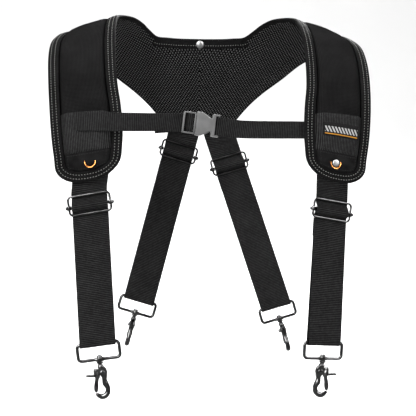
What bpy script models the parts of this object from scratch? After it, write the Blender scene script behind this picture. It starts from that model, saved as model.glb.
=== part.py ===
"""Padded shoulder suspenders for a carpenter's tool belt, in metres with +Z up.

The wearer stands at the origin and faces -Y. The origin is where the two shoulders carry the
yoke: X = 0 between the pads, Y = 0 and Z = 0 under the crest of the shoulders.

Lengths below are millimetres, turned into metres when a mesh is made.
"""

import math

import bmesh
import bpy
import numpy as np
from mathutils import Matrix, Vector

MM = 0.001
GAP = 0.3  # clearance between neighbouring solids

# The yoke is one padded horseshoe. Each station is a straight line across it, from the edge
# round the neck to the edge over the arm. They run from a front tip over the shoulder to the
# middle of the back, and the other half is their mirror image.
NECK_EDGE = [
    (132.5, -126, -227), (129.5, -126, -194), (128, -125, -164), (130.5, -117, -130),
    (135.5, -104, -94), (137.5, -80, -50), (137, -52, -16), (133.5, -20, 7), (128.5, 4, 14.5),
    (117, 20, 17), (104, 37, 17), (92, 54, 12.5), (82, 71, 6.5), (69, 87, -1),
    (53, 93.5, -1.5), (38, 97, -2), (25, 99, -2), (12, 100, -2), (0, 100, -2),
]
ARM_EDGE = [
    (219, -119.5, -242), (220.5, -114, -210), (224.5, -109, -176), (227.5, -99, -134),
    (230, -84, -91), (231, -63, -60), (229, -38, -36), (222.5, -12, -22), (216, 10, -16),
    (206, 42, -19), (186, 72, -29), (160, 93, -42), (132, 103.5, -64), (104.5, 113.5, -84),
    (82, 119, -104), (62, 123.5, -127), (50, 125.5, -144), (25, 126, -147), (0, 126, -147.5),
]
STATION_STEP = 33.0  # distance between the first stations, along the pad
TIP_YAW = {-1: 3.0, 1: 8.0}  # degrees that a front tip turns round the chest, by side
TIP_YAW_FADE = (1.0, 0.7, 0.35)  # share of that turn at the first stations
TIP_CORNER = (40.0, 28.0)  # rounding of a tip's corners, across and along the pad

FLANGE = 14.0  # width of the bound edge
SHOULDER = 19.0  # distance from the edge to the raised pad
LINING_TOP = 1.2
FLANGE_TOP = 3.5
RAISED_TOP = 9.0
CROWN_TOP = 12.5
SHOULDER_DROP = (3.2, 5.0)  # how much lower the raised pad and its crown are over the shoulder
SHELL_SKIN = 1.0
BINDING_SKIN = 0.8
PATCH_SKIN = 1.3

RIVET_STATION = 0.75
RIVET_FROM_NECK_EDGE = 41.5
EYELET_OUTER, EYELET_BORE = 8.0, 4.7
RIVET_SHANK = 2.2

WEBBING = 50.0  # width of the four suspender straps
WEBBING_THICK = 1.5
CHEST_WEBBING = 25.0
CHEST_THICK = 1.3

SLIDER_WIRE, SLIDER_WIDTH, SLIDER_HEIGHT, SLIDER_CORNER = 1.5, 58.0, 26.0, 4.5
BAR_RADIUS = 1.6
BAR_BELOW_CENTRE = 2.0
RING_WIRE, RING_WIDTH, RING_HEIGHT, RING_CORNER = 2.15, 58.2, 22.7, 5.0
FOLD_RADIUS = 4.15  # of the webbing round a ring's top wire
TAIL_LENGTH = 27.0

# Each strap: the middle of its slider bar, the turn of its plane round the vertical, the lean
# of the strap, the lean of its slider, ring and hook, the distance from the bar to the ring's
# top wire, and the turn of the hook on its swivel. A lean is positive where the strap moves
# towards +X on its way down, or where the +X end of the metalwork is the higher one.
STRAPS = {
    "front_left": {"bar": (-172.5, -120.2, -268), "yaw": -3, "lean": 3.2, "slider": 9.5,
                   "ring": 7.2, "hook": 4.3, "length": 191.5, "swivel": 0, "hand": -1},
    "front_right": {"bar": (170.5, -109, -277), "yaw": 14, "lean": -4.0, "slider": -9.1,
                    "ring": -3.8, "hook": -3.3, "length": 186.5, "swivel": 0, "hand": 1},
    "back_left": {"bar": (-32.6, 129.6, -182), "yaw": 0, "lean": -15.0, "slider": -16.5,
                  "ring": -17.0, "hook": -15.3, "length": 246.5, "swivel": 90, "hand": 1},
    "back_right": {"bar": (51.4, 129.6, -201.2), "yaw": 0, "lean": 18.3, "slider": 15.5,
                   "ring": 16.0, "hook": 16.0, "length": 243, "swivel": 90, "hand": 1},
}

PIVOT = (2.6, -18.6)  # of a hook's gate: across and above the ring's bottom wire

BUCKLE = (-19.0, -132.0, -155.4)  # middle of the closed chest buckle
BUCKLE_LEAN = -7.0
PRONG_ROOT = (-9.0, 8.2)
CHEST_STRAP_Z = -155.5
CHEST_STRAP_START = 51.0  # how far the left chest strap reaches over its pad
CHEST_STRAP_UNDER = (150.0, -162.5)  # X and Z of the end sewn under the right pad
CHEST_FOLD_END = 35.0

MATERIALS = {
    "shell_nylon": ((0.016, 0.016, 0.017), 0.75, 0.0),
    "mesh_fabric": ((0.010, 0.010, 0.011), 0.85, 0.0),
    "foam": ((0.05, 0.05, 0.05), 0.95, 0.0),
    "webbing": ((0.014, 0.014, 0.015), 0.7, 0.0),
    "patch": ((0.018, 0.018, 0.019), 0.65, 0.0),
    "binding": ((0.014, 0.014, 0.015), 0.7, 0.0),
    "label": ((0.01, 0.01, 0.01), 0.6, 0.0),
    "gunmetal": ((0.06, 0.06, 0.065), 0.28, 1.0),
    "copper": ((0.72, 0.38, 0.18), 0.25, 1.0),
    "nickel": ((0.45, 0.45, 0.46), 0.3, 1.0),
    "grey_plastic": ((0.22, 0.22, 0.23), 0.45, 0.0),
}


# ---------------------------------------------------------------- scene and materials


def clear_scene():
    for obj in list(bpy.data.objects):
        bpy.data.objects.remove(obj, do_unlink=True)


def make_materials():
    for name, (colour, roughness, metallic) in MATERIALS.items():
        material = bpy.data.materials.new(name)
        material.use_nodes = True
        shader = material.node_tree.nodes["Principled BSDF"]
        shader.inputs["Base Color"].default_value = (*colour, 1.0)
        shader.inputs["Roughness"].default_value = roughness
        shader.inputs["Metallic"].default_value = metallic
        material.diffuse_color = (*colour, 1.0)


def own_material(obj, look):
    """Each object gets a material of its own, copied from the look's."""
    material = bpy.data.materials[look].copy()
    material.name = obj.name
    obj.data.materials.clear()
    obj.data.materials.append(material)


def add_object(name, mesh, look, matrix=None, parent=None):
    """Put a mesh, whose points are metres, at a place in the world, under an optional empty."""
    obj = bpy.data.objects.new(name, mesh)
    bpy.context.scene.collection.objects.link(obj)
    world = matrix or Matrix()
    if parent:
        obj.parent = parent
        world = Matrix(parent["place"]).inverted() @ world
    obj.matrix_local = world
    own_material(obj, look)
    return obj


def add_axis(name, matrix, parent=None):
    """An empty on a joint's axis. It keeps its own place for the pieces hung on it."""
    empty = bpy.data.objects.new(name, None)
    bpy.context.scene.collection.objects.link(empty)
    empty.empty_display_size = 0.01
    local = matrix
    if parent:
        empty.parent = parent
        local = Matrix(parent["place"]).inverted() @ matrix
    empty.matrix_local = local
    empty["place"] = [list(row) for row in matrix]
    return empty


def mesh_from(points, faces, smooth_deg=40.0):
    """A mesh in metres from points in millimetres, its normals made to face out."""
    mesh = bpy.data.meshes.new("shape")
    mesh.from_pydata([Vector(p) * MM for p in points], [], faces)
    bm = bmesh.new()
    bm.from_mesh(mesh)
    bmesh.ops.recalc_face_normals(bm, faces=bm.faces)
    bm.to_mesh(mesh)
    bm.free()
    mesh.shade_smooth()
    mesh.set_sharp_from_angle(angle=math.radians(smooth_deg))
    return mesh


def boolean(obj, other, operation="DIFFERENCE"):
    modifier = obj.modifiers.new(operation.lower(), "BOOLEAN")
    modifier.operation = operation
    modifier.solver = "EXACT"
    modifier.object = other


def guide(name, mesh, matrix=None):
    """A cutter or a lump to be joined to another object: never a piece of its own."""
    obj = bpy.data.objects.new(name, mesh)
    bpy.context.scene.collection.objects.link(obj)
    obj.matrix_local = matrix or Matrix()
    obj.hide_render = True
    obj.display_type = "WIRE"
    return obj


def baked(name, mesh, changes):
    """A mesh with Boolean changes applied, given as (operation, other mesh) pairs."""
    base = guide(name, mesh)
    others = []
    for operation, other in changes:
        helper = guide(name + "_part", other)
        boolean(base, helper, operation)
        others.append(helper)
    graph = bpy.context.evaluated_depsgraph_get()
    result = bpy.data.meshes.new_from_object(base.evaluated_get(graph), depsgraph=graph)
    for obj in [base, *others]:
        bpy.data.objects.remove(obj, do_unlink=True)
    result.shade_smooth()
    result.set_sharp_from_angle(angle=math.radians(35.0))
    return result


# ---------------------------------------------------------------- plain shapes, in millimetres


def box_mesh(low, high):
    corners = [(x, y, z) for z in (low[2], high[2]) for y in (low[1], high[1])
               for x in (low[0], high[0])]
    faces = [(0, 2, 3, 1), (4, 5, 7, 6), (0, 1, 5, 4), (2, 6, 7, 3), (0, 4, 6, 2), (1, 3, 7, 5)]
    return mesh_from(corners, faces)


def lathe_mesh(profile, segments):
    """Turn (radius, height) points about Z. The first and last points are on the axis."""
    points = [(0, 0, profile[0][1])]
    for radius, height in profile[1:-1]:
        for k in range(segments):
            turn = 2 * math.pi * k / segments
            points.append((radius * math.cos(turn), radius * math.sin(turn), height))
    points.append((0, 0, profile[-1][1]))
    rings = len(profile) - 2
    faces = []
    for k in range(segments):
        after = (k + 1) % segments
        faces.append((0, 1 + after, 1 + k))
        for ring in range(rings - 1):
            here = 1 + ring * segments
            faces.append((here + k, here + after, here + segments + after, here + segments + k))
        top = 1 + (rings - 1) * segments
        faces.append((top + k, top + after, len(points) - 1))
    return mesh_from(points, faces)


def ring_mesh(outline, segments):
    """Turn a closed (radius, height) outline, clear of the axis, about Z."""
    points = []
    for radius, height in outline:
        for k in range(segments):
            turn = 2 * math.pi * k / segments
            points.append((radius * math.cos(turn), radius * math.sin(turn), height))
    faces = []
    for ring in range(len(outline)):
        here = ring * segments
        there = (ring + 1) % len(outline) * segments
        for k in range(segments):
            after = (k + 1) % segments
            faces.append((here + k, here + after, there + after, there + k))
    return mesh_from(points, faces)


def plate_mesh(outline, low_y, high_y, bevel=0.0):
    """An outline in X and Z, given thickness along Y, with bevelled rims."""
    count = len(outline)
    points = [(x, low_y, z) for x, z in outline] + [(x, high_y, z) for x, z in outline]
    faces = [tuple(range(count)), tuple(range(2 * count - 1, count - 1, -1))]
    for k in range(count):
        after = (k + 1) % count
        faces.append((k, after, count + after, count + k))
    mesh = mesh_from(points, faces)
    if bevel:
        bm = bmesh.new()
        bm.from_mesh(mesh)
        rims = [e for e in bm.edges if abs(e.verts[0].co.y - e.verts[1].co.y) < 1e-6]
        bmesh.ops.bevel(bm, geom=rims, offset=bevel * MM, segments=1, affect="EDGES",
                        clamp_overlap=True)
        bm.to_mesh(mesh)
        bm.free()
    return mesh


def tube_mesh(path, radius, sides, closed=False):
    """A round wire along a path of points, its section carried along without twist."""
    path = [np.array(p, float) for p in path]
    count = len(path)
    tangents = []
    for k in range(count):
        before = path[k - 1] if closed or k else path[0]
        after = path[(k + 1) % count] if closed or k + 1 < count else path[-1]
        tangents.append((after - before) / np.linalg.norm(after - before))
    side = np.cross(tangents[0], (0, 1, 0))
    if np.linalg.norm(side) < 0.1:
        side = np.cross(tangents[0], (1, 0, 0))
    points = []
    for centre, tangent in zip(path, tangents):
        side = side - tangent * np.dot(side, tangent)
        side = side / np.linalg.norm(side)
        other = np.cross(tangent, side)
        for k in range(sides):
            turn = 2 * math.pi * k / sides
            points.append(centre + radius * (math.cos(turn) * side + math.sin(turn) * other))
    faces = []
    for ring in range(count if closed else count - 1):
        here = ring * sides
        there = (ring + 1) % count * sides
        for k in range(sides):
            after = (k + 1) % sides
            faces.append((here + k, here + after, there + after, there + k))
    if not closed:
        faces.append(tuple(range(sides)))
        faces.append(tuple(range((count - 1) * sides, count * sides)))
    return mesh_from(points, faces)


def rounded_rectangle(width, height, corner, steps):
    """A closed path in X and Z, centred on the origin."""
    path = []
    centres = ((1, 1), (-1, 1), (-1, -1), (1, -1))
    for quarter, (across, up) in enumerate(centres):
        for step in range(steps + 1):
            turn = math.radians(90 * quarter + 90 * step / steps)
            path.append((across * (width / 2 - corner) + corner * math.cos(turn), 0,
                         up * (height / 2 - corner) + corner * math.sin(turn)))
    return path


def ribbon_mesh(sections, thickness):
    """Webbing through (middle, half width vector) sections. Its two faces are flat strips."""
    middles = [np.array(m, float) for m, _ in sections]
    widths = [np.array(w, float) for _, w in sections]
    points = []
    for k, (middle, half) in enumerate(zip(middles, widths)):
        ahead = middles[min(k + 1, len(middles) - 1)] - middles[max(k - 1, 0)]
        normal = np.cross(ahead, half)
        normal = normal / np.linalg.norm(normal) * thickness / 2
        if 0 < k < len(middles) - 1:
            into = middles[k] - middles[k - 1]
            out = middles[k + 1] - middles[k]
            bend = np.dot(into, out) / np.linalg.norm(into) / np.linalg.norm(out)
            normal = normal / math.sqrt((1 + max(bend, 0.0)) / 2)
        points += [middle - half - normal, middle + half - normal,
                   middle + half + normal, middle - half + normal]
    faces = [(0, 1, 2, 3)]
    for k in range(len(middles) - 1):
        here = 4 * k
        for side in range(4):
            after = (side + 1) % 4
            faces.append((here + side, here + after, here + 4 + after, here + 4 + side))
    last = 4 * (len(middles) - 1)
    faces.append((last + 3, last + 2, last + 1, last))
    return mesh_from(points, faces)


# ---------------------------------------------------------------- the yoke's surface


def station_points(side):
    """The two edges of one half, with the front tip turned round the chest."""
    neck, arm = [], []
    for k, (inner, outer) in enumerate(zip(NECK_EDGE, ARM_EDGE)):
        inner, outer = np.array(inner, float), np.array(outer, float)
        if k < len(TIP_YAW_FADE):
            turn = math.radians(TIP_YAW[side] * TIP_YAW_FADE[k])
            across = outer - inner
            outer = inner + (across[0] * math.cos(turn) - across[1] * math.sin(turn),
                             across[0] * math.sin(turn) + across[1] * math.cos(turn),
                             across[2])
        neck.append(inner * (side, 1, 1))
        arm.append(outer * (side, 1, 1))
    return neck, arm


STATIONS = {side: station_points(side) for side in (-1, 1)}
LAST = len(NECK_EDGE) - 1


def along(points, u):
    """A smooth curve through the stations: Catmull-Rom, straight before the first."""
    k = min(max(int(math.floor(u)), 0), LAST - 1)
    t = u - k
    before = points[k - 1] if k else 2 * points[0] - points[1]
    if k + 2 <= LAST:
        after = points[k + 2]
    else:
        after = points[LAST - 1] * (-1, 1, 1)
    a, b = points[k], points[k + 1]
    return 0.5 * (2 * a + (b - before) * t + (2 * before - 5 * a + 4 * b - after) * t**2
                  + (3 * a - before - 3 * b + after) * t**3)


def edge_ends(side, u):
    neck, arm = STATIONS[side]
    return along(neck, u), along(arm, u)


def yoke_point(side, u, from_neck=None, from_arm=None, share=None):
    """A point on the wearer's face and the outward normal there."""

    def place(station):
        inner, outer = edge_ends(side, station)
        width = np.linalg.norm(outer - inner)
        if share is not None:
            part = share
        elif from_neck is not None:
            part = from_neck / width
        else:
            part = 1 - from_arm / width
        return inner + (outer - inner) * part, (outer - inner) / width

    point, across = place(u)
    step = 0.05
    lengthwise = place(min(u + step, LAST))[0] - place(max(u - step, 0.0))[0]
    if u > LAST - step:
        lengthwise = np.array((-side, 0.0, 0.0))
    normal = np.cross(lengthwise, across) * -side
    return point, normal / np.linalg.norm(normal)


def tip_station(distance, inset):
    """Where a line, inset from a tip's outline, meets a column this far in from a side."""
    across, lengthwise = TIP_CORNER[0] - inset, max(TIP_CORNER[1] - inset, 1.0)
    reach = min(max(1 - (distance - inset) / across, 0.0), 1.0)
    return (inset + lengthwise * (1 - math.sqrt(1 - reach**2))) / STATION_STEP


COLUMNS = ("neck", 0.0), ("neck", FLANGE), ("neck", SHOULDER), ("middle", 0.5), \
    ("arm", SHOULDER), ("arm", FLANGE), ("arm", 0.0)
TIP_ROWS = {0: (0.85, 1.0, 1.1), 1: (None, 0.85, 1.0)}
STRAIGHT_ROWS = [1.25, 2.0, 2.75, 3.5, 4.25] + [float(k) for k in range(5, LAST + 1)]
INSETS = (0.0, FLANGE, SHOULDER)


def row_station(row, column):
    """The station of a grid point: rows 0 to 2 follow the tip's outline, the rest are straight."""
    if row >= len(INSETS):
        return STRAIGHT_ROWS[row - len(INSETS)]
    near = min(column, len(COLUMNS) - 1 - column)
    if near == 0:
        return TIP_ROWS[0][row]
    if near == 1 and row:
        return TIP_ROWS[1][row]
    distance = (FLANGE, FLANGE, SHOULDER, TIP_CORNER[0])[near]
    return tip_station(distance, INSETS[row])


ROWS = len(INSETS) + len(STRAIGHT_ROWS)


def over_shoulder(station):
    """1 on top of the shoulder and 0 down the chest and the back, smooth between."""
    t = min(max((abs(station - 8.5) - 2.0) / 3.0, 0.0), 1.0)
    return 1 - t * t * (3 - 2 * t)


def pad_top(row, column, station):
    """Height of the outer shell above the wearer's face."""
    near = min(column, len(COLUMNS) - 1 - column)
    if near < 2 or row < 2:
        return FLANGE_TOP
    low_back = min(max((station - 14.0) / 2.0, 0.0), 1.0)
    drop = over_shoulder(station)
    if column == 4:
        return RAISED_TOP + (FLANGE_TOP - RAISED_TOP) * low_back - SHOULDER_DROP[0] * drop
    if near == 3 and row > 3:
        return CROWN_TOP + (8.0 - CROWN_TOP) * low_back - SHOULDER_DROP[1] * drop
    return RAISED_TOP - SHOULDER_DROP[0] * drop


def half_grid(side):
    """Rows of (point, normal, shell height) from a tip to the middle of the back."""
    grid = []
    for row in range(ROWS):
        line = []
        for column, (edge, distance) in enumerate(COLUMNS):
            u = row_station(row, column)
            where = {"neck": {"from_neck": distance}, "arm": {"from_arm": distance},
                     "middle": {"share": distance}}[edge]
            point, normal = yoke_point(side, u, **where)
            line.append((point, normal, pad_top(row, column, u)))
        grid.append(line)
    return grid


HALVES = {side: half_grid(side) for side in (-1, 1)}


def left_to_right(side, lines):
    """Every grid runs from the left tip to the right one, so that all layers split alike."""
    return lines if side < 0 else lines[::-1]


def whole_grid():
    """Both halves in one strip."""
    return HALVES[-1] + HALVES[1][-2::-1]


def cells(rows, columns):
    """Every grid cell as two triangles, always split the same way so that layers nest."""
    for i in range(rows - 1):
        for j in range(columns - 1):
            here, ahead = i * columns + j, (i + 1) * columns + j
            yield (here, ahead, ahead + 1)
            yield (here, ahead + 1, here + 1)


def slab_mesh(bottom, top):
    """A closed slab between two grids of points."""
    rows, columns = len(bottom), len(bottom[0])
    points = [p for line in bottom for p in line] + [p for line in top for p in line]
    count = rows * columns
    faces = [tuple(reversed(f)) for f in cells(rows, columns)]
    faces += [tuple(k + count for k in f) for f in cells(rows, columns)]
    rim = [j for j in range(columns)]
    rim += [i * columns + columns - 1 for i in range(1, rows)]
    rim += [(rows - 1) * columns + j for j in range(columns - 2, -1, -1)]
    rim += [i * columns for i in range(rows - 2, 0, -1)]
    for k, here in enumerate(rim):
        after = rim[(k + 1) % len(rim)]
        faces.append((here, after, after + count, here + count))
    return mesh_from(points, faces)


def raised(grid, height):
    """Grid points lifted off the wearer's face by a height, or by a rule for (row, column)."""
    return [[point + normal * (height(i, j, top) if callable(height) else height)
             for j, (point, normal, top) in enumerate(line)] for i, line in enumerate(grid)]


def shell_under(i, j, top):
    return top - SHELL_SKIN


def foam_top(i, j, top):
    return top - SHELL_SKIN - 1.5 * GAP


def shell_top(i, j, top):
    return top


# ---------------------------------------------------------------- yoke pieces


def trimmed(grid, amount):
    """The grid with its outermost points drawn in, so that foam stops short of the binding."""
    lines = []
    last = len(grid) - 1
    for i, line in enumerate(grid):
        new = list(line)
        if i in (0, last):
            inner = grid[1 if i == 0 else last - 1]
            for j, (point, normal, top) in enumerate(line):
                step = inner[j][0] - point
                new[j] = (point + step / np.linalg.norm(step) * amount, normal, top)
        for j, towards in ((0, 1), (len(line) - 1, len(line) - 2)):
            point, normal, top = new[j]
            step = line[towards][0] - line[j][0]
            new[j] = (point + step / np.linalg.norm(step) * amount, normal, top)
        lines.append(new)
    return lines


def make_linings():
    """The air-mesh lining is sewn from two halves that meet in a seam down the back."""
    made = []
    for side, name in ((-1, "mesh_lining_left"), (1, "mesh_lining_right")):
        grid = [list(line) for line in HALVES[side]]
        grid[-1] = [(p + (side * GAP / 2, 0, 0), n, t) for p, n, t in grid[-1]]
        grid = left_to_right(side, grid)
        mesh = slab_mesh(raised(grid, 0.0), raised(grid, LINING_TOP))
        made.append(add_object(name, mesh, "mesh_fabric"))
    return made


def make_foam():
    grid = trimmed(whole_grid(), 1.5)
    mesh = slab_mesh(raised(grid, LINING_TOP + 1.5 * GAP), raised(grid, foam_top))
    return add_object("foam_core", mesh, "foam")


def make_shell():
    grid = whole_grid()
    mesh = slab_mesh(raised(grid, shell_under), raised(grid, shell_top))
    return add_object("outer_shell", mesh, "shell_nylon")


def make_binding():
    """The tape that wraps every edge: a C in section, 14 mm wide, closed round the yoke."""
    grid = whole_grid()
    rows, columns = len(grid), len(grid[0])
    rim = [(0, j) for j in range(columns)]
    rim += [(i, columns - 1) for i in range(1, rows)]
    rim += [(rows - 1, j) for j in range(columns - 2, -1, -1)]
    rim += [(i, 0) for i in range(rows - 2, 0, -1)]
    inner = [(min(max(i, 1), rows - 2), min(max(j, 1), columns - 2)) for i, j in rim]

    def ring(height, push):
        out = []
        for (i, j), (a, b) in zip(rim, inner):
            point, normal, _ = grid[i][j]
            step = point - grid[a][b][0]
            out.append(point + normal * height + step / np.linalg.norm(step) * push)
        return out

    def inset(height):
        return {(a, b): grid[a][b][0] + grid[a][b][1] * height for a, b in inner}

    points, faces = [], []

    def add(items):
        start = len(points)
        points.extend(items)
        return start

    count = len(rim)
    top, under = FLANGE_TOP + GAP + BINDING_SKIN, -GAP - BINDING_SKIN
    wall = 1.7 * GAP
    layers = ((top, wall + BINDING_SKIN), (FLANGE_TOP + GAP, wall), (-GAP, wall),
              (under, wall + BINDING_SKIN))
    rims = [add(ring(height, push)) for height, push in layers]
    insets = []
    for height, _ in layers:
        places = inset(height)
        start = add(list(places.values()))
        insets.append({key: start + k for k, key in enumerate(places)})

    for layer in range(4):
        for k in range(count):
            after = (k + 1) % count
            p, q = rims[layer] + k, rims[layer] + after
            r, s = insets[layer][inner[after]], insets[layer][inner[k]]
            if r == s:
                faces.append((p, q, r))
                continue
            cell = sorted([(rim[k], p), (rim[after], q), (inner[after], r), (inner[k], s)])
            (_, low), (_, b), (_, c), (_, high) = cell
            faces.append((low, b, high))
            faces.append((low, high, c))
    for k in range(count):
        after = (k + 1) % count
        faces.append((rims[0] + k, rims[3] + k, rims[3] + after, rims[0] + after))
        faces.append((rims[1] + k, rims[1] + after, rims[2] + after, rims[2] + k))
        if inner[k] != inner[after]:
            for upper, lower in ((0, 1), (2, 3)):
                faces.append((insets[upper][inner[k]], insets[upper][inner[after]],
                              insets[lower][inner[after]], insets[lower][inner[k]]))
    return add_object("edge_binding", mesh_from(points, faces), "binding")


def blend_points(first, second, share):
    return tuple(a + (b - a) * share for a, b in zip(first, second))


def panel_grid(side, rows, inset, first_inset=0.0):
    """Grid points over the raised pad, drawn in from the binding by an inset."""
    lines = []
    for i in rows:
        line = HALVES[side][i]
        new = [line[k] for k in range(1, len(line) - 1)]
        for end, towards in ((0, 1), (-1, -2)):
            width = np.linalg.norm(new[towards][0] - new[end][0])
            new[end] = blend_points(new[end], new[towards], inset / width)
        lines.append(new)
    if first_inset:
        for j, (here, ahead) in enumerate(zip(lines[0], lines[1])):
            length = np.linalg.norm(ahead[0] - here[0])
            lines[0][j] = blend_points(here, ahead, first_inset / length)
    return lines


def patch_mesh(grid, under, skin):
    bottom = [[point + normal * (top + under) for point, normal, top in line] for line in grid]
    top = [[point + normal * (top + under + skin) for point, normal, top in line]
           for line in grid]
    return slab_mesh(bottom, top)


def make_panels(side, name):
    """The ribbed webbing across each pad and the smooth patch under it, at the tip."""
    band = panel_grid(side, (3, 4, 5), 0.6)
    band_mesh = patch_mesh(left_to_right(side, band), GAP, PATCH_SKIN)
    web = add_object("web_panel_" + name, band_mesh, "webbing")
    tip = panel_grid(side, (1, 2, 3), 0.6, first_inset=0.6)
    for j, (here, before) in enumerate(zip(tip[-1], tip[-2])):
        length = np.linalg.norm(before[0] - here[0])
        tip[-1][j] = blend_points(here, before, 0.6 / length)
    tip_mesh = patch_mesh(left_to_right(side, tip), 2 * GAP, PATCH_SKIN)
    patch = add_object("end_patch_" + name, tip_mesh, "patch")
    return web, patch


def make_label():
    """A plain woven tag on the right pad's webbing band."""
    rows = []
    for lower, upper, share in ((3, 4, 0.83), (4, 4, 0.0), (4, 5, 0.59)):
        line = []
        for j in (2, 3, 4):
            line.append(blend_points(HALVES[1][lower][j], HALVES[1][upper][j], share))
        rows.append(line)
    mesh = patch_mesh(rows[::-1], 2 * GAP + PATCH_SKIN + 0.2, 0.8)
    return add_object("label_patch", mesh, "label")


def frame_matrix(origin, x, z):
    """A placement in metres from an origin in millimetres, an X axis and a rough Z axis."""
    x = Vector(x).normalized()
    y = Vector(z).cross(x).normalized()
    z = x.cross(y)
    rotation = Matrix((x, y, z)).transposed().to_4x4()
    return Matrix.Translation(Vector(origin) * MM) @ rotation


def rivet_frame(side):
    """Local Z points out of the pad and X across it, at the wearer's face."""
    point, normal = yoke_point(side, RIVET_STATION, from_neck=RIVET_FROM_NECK_EDGE)
    return frame_matrix(point, np.cross((0, 0, 1), normal), normal)


RIVET_TOP = RAISED_TOP + GAP + PATCH_SKIN  # the end patch's face, where the eyelet sits
STRAP_BEHIND = 3.0  # the strap's middle lies this far behind the pad


def make_rivets(side, name, layers):
    """A cup eyelet lines the hole through the pad, and a rivet pivots the strap in it."""
    frame = rivet_frame(side)
    flange = RIVET_TOP + 1.6
    cup_floor = RIVET_TOP - 1.6
    eyelet = ring_mesh([(EYELET_OUTER, RIVET_TOP + 0.9), (EYELET_OUTER - 1.2, flange + 0.5),
                        (EYELET_BORE + 0.6, flange + 0.5), (EYELET_BORE, flange),
                        (EYELET_BORE, cup_floor), (RIVET_SHANK + GAP, cup_floor),
                        (RIVET_SHANK + GAP, cup_floor - 1.2), (EYELET_BORE + 1.0, cup_floor - 1.2),
                        (EYELET_BORE + 1.0, RIVET_TOP + 0.9)], 16)
    axis = add_axis("strap_pivot_" + name, frame)
    eyelet_obj = add_object("eyelet_" + name, eyelet, "copper", frame, axis)
    head = cup_floor + GAP
    back = -STRAP_BEHIND - WEBBING_THICK / 2 - GAP
    rivet = lathe_mesh([(0, back - 1.4), (5.0, back - 1.4), (6.0, back - 0.7), (6.0, back),
                        (RIVET_SHANK, back), (RIVET_SHANK, head), (EYELET_BORE - 0.5, head),
                        (EYELET_BORE - 0.5, head + 1.0), (EYELET_BORE - 2.0, head + 2.2),
                        (0, head + 2.6)], 16)
    rivet_obj = add_object("pivot_rivet_" + name, rivet, "nickel", frame, axis)
    wide = lathe_mesh([(0, cup_floor - 2.5), (EYELET_BORE + 1.0 + GAP, cup_floor - 2.5),
                       (EYELET_BORE + 1.0 + GAP, 30.0), (0, 30.0)], 16)
    narrow = lathe_mesh([(0, -20.0), (RIVET_SHANK + GAP, -20.0), (RIVET_SHANK + GAP, 30.0),
                         (0, 30.0)], 12)
    wide_cut = guide("cut_wide_" + name, wide, frame)
    narrow_cut = guide("cut_narrow_" + name, narrow, frame)
    for layer in layers:
        boolean(layer, narrow_cut)
        boolean(layer, wide_cut)
    return axis, narrow_cut, eyelet_obj, rivet_obj


SNAP_Z = -9.6


def make_snap(layers):
    """The press stud in the middle of the neck edge, its cap on the wearer's side."""
    point, normal = yoke_point(1, LAST, from_neck=(NECK_EDGE[-1][2] - SNAP_Z))
    frame = frame_matrix(point, (1, 0, 0), normal)
    top, under = FLANGE_TOP + 2 * GAP + BINDING_SKIN, -2 * GAP - BINDING_SKIN
    stud = lathe_mesh([(0, under - 2.6), (3.2, under - 2.2), (5.6, under - 1.1), (6.3, under),
                       (2.0, under), (2.0, top), (5.6, top), (5.6, top + 1.0),
                       (2.6, top + 1.6), (0, top + 1.6)], 16)
    snap = add_object("neck_snap", stud, "nickel", frame)
    hole = lathe_mesh([(0, -15.0), (2.0 + GAP, -15.0), (2.0 + GAP, 20.0), (0, 20.0)], 12)
    cut = guide("cut_snap", hole, frame)
    for layer in layers:
        boolean(layer, cut)
    return snap


BACK_PATCH = [(0, -147), (27, -146.5), (54, -143.5), (61, -135), (61, -124), (54, -118)]
BACK_PATCH_UNDER = 7.0


def back_frame():
    """At the lower edge of the back: X across, Z up the back and Y out of it."""
    low, high = np.array(ARM_EDGE[-1], float), np.array(NECK_EDGE[-1], float)
    return frame_matrix(low, (1, 0, 0), high - low)


def make_back_patch():
    """The patch sewn over the roots of the two back straps."""
    half = [(x, z - ARM_EDGE[-1][2]) for x, z in BACK_PATCH]
    outline = half + [(-x, z) for x, z in reversed(half) if x]
    mesh = plate_mesh(outline, BACK_PATCH_UNDER, BACK_PATCH_UNDER + PATCH_SKIN)
    return add_object("back_patch", mesh, "patch", back_frame())


# ---------------------------------------------------------------- strap metalwork


def slider_frame_mesh():
    path = rounded_rectangle(SLIDER_WIDTH, SLIDER_HEIGHT, SLIDER_CORNER, 3)
    return tube_mesh(path, SLIDER_WIRE, 6, closed=True)


def slider_bar_mesh():
    """The bar that the webbing is sewn to, with an eye round each side wire and a peened end."""
    half = SLIDER_WIDTH / 2
    eye = SLIDER_WIRE + GAP + 1.1
    rod = tube_mesh([(-half - eye - 1.0, 0, 0), (half + eye + 1.0, 0, 0)], BAR_RADIUS, 8)
    changes = []
    for side in (-1, 1):
        block = plate_mesh([(side * half + x, z) for x, z in
                            ((-eye, -2), (-eye + 1, -3), (eye - 1, -3), (eye, -2), (eye, 2),
                             (eye - 1, 3), (-eye + 1, 3), (-eye, 2))], -eye, eye)
        changes.append(("UNION", block))
    for side in (-1, 1):
        hole = tube_mesh([(side * half, 0, -8), (side * half, 0, 8)], SLIDER_WIRE + GAP, 10)
        changes.append(("DIFFERENCE", hole))
    return baked("slider_bar", rod, changes)


BOSS_RADIUS, BOSS_HALF, POST_RADIUS = 4.4, 3.4, 1.6


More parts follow.
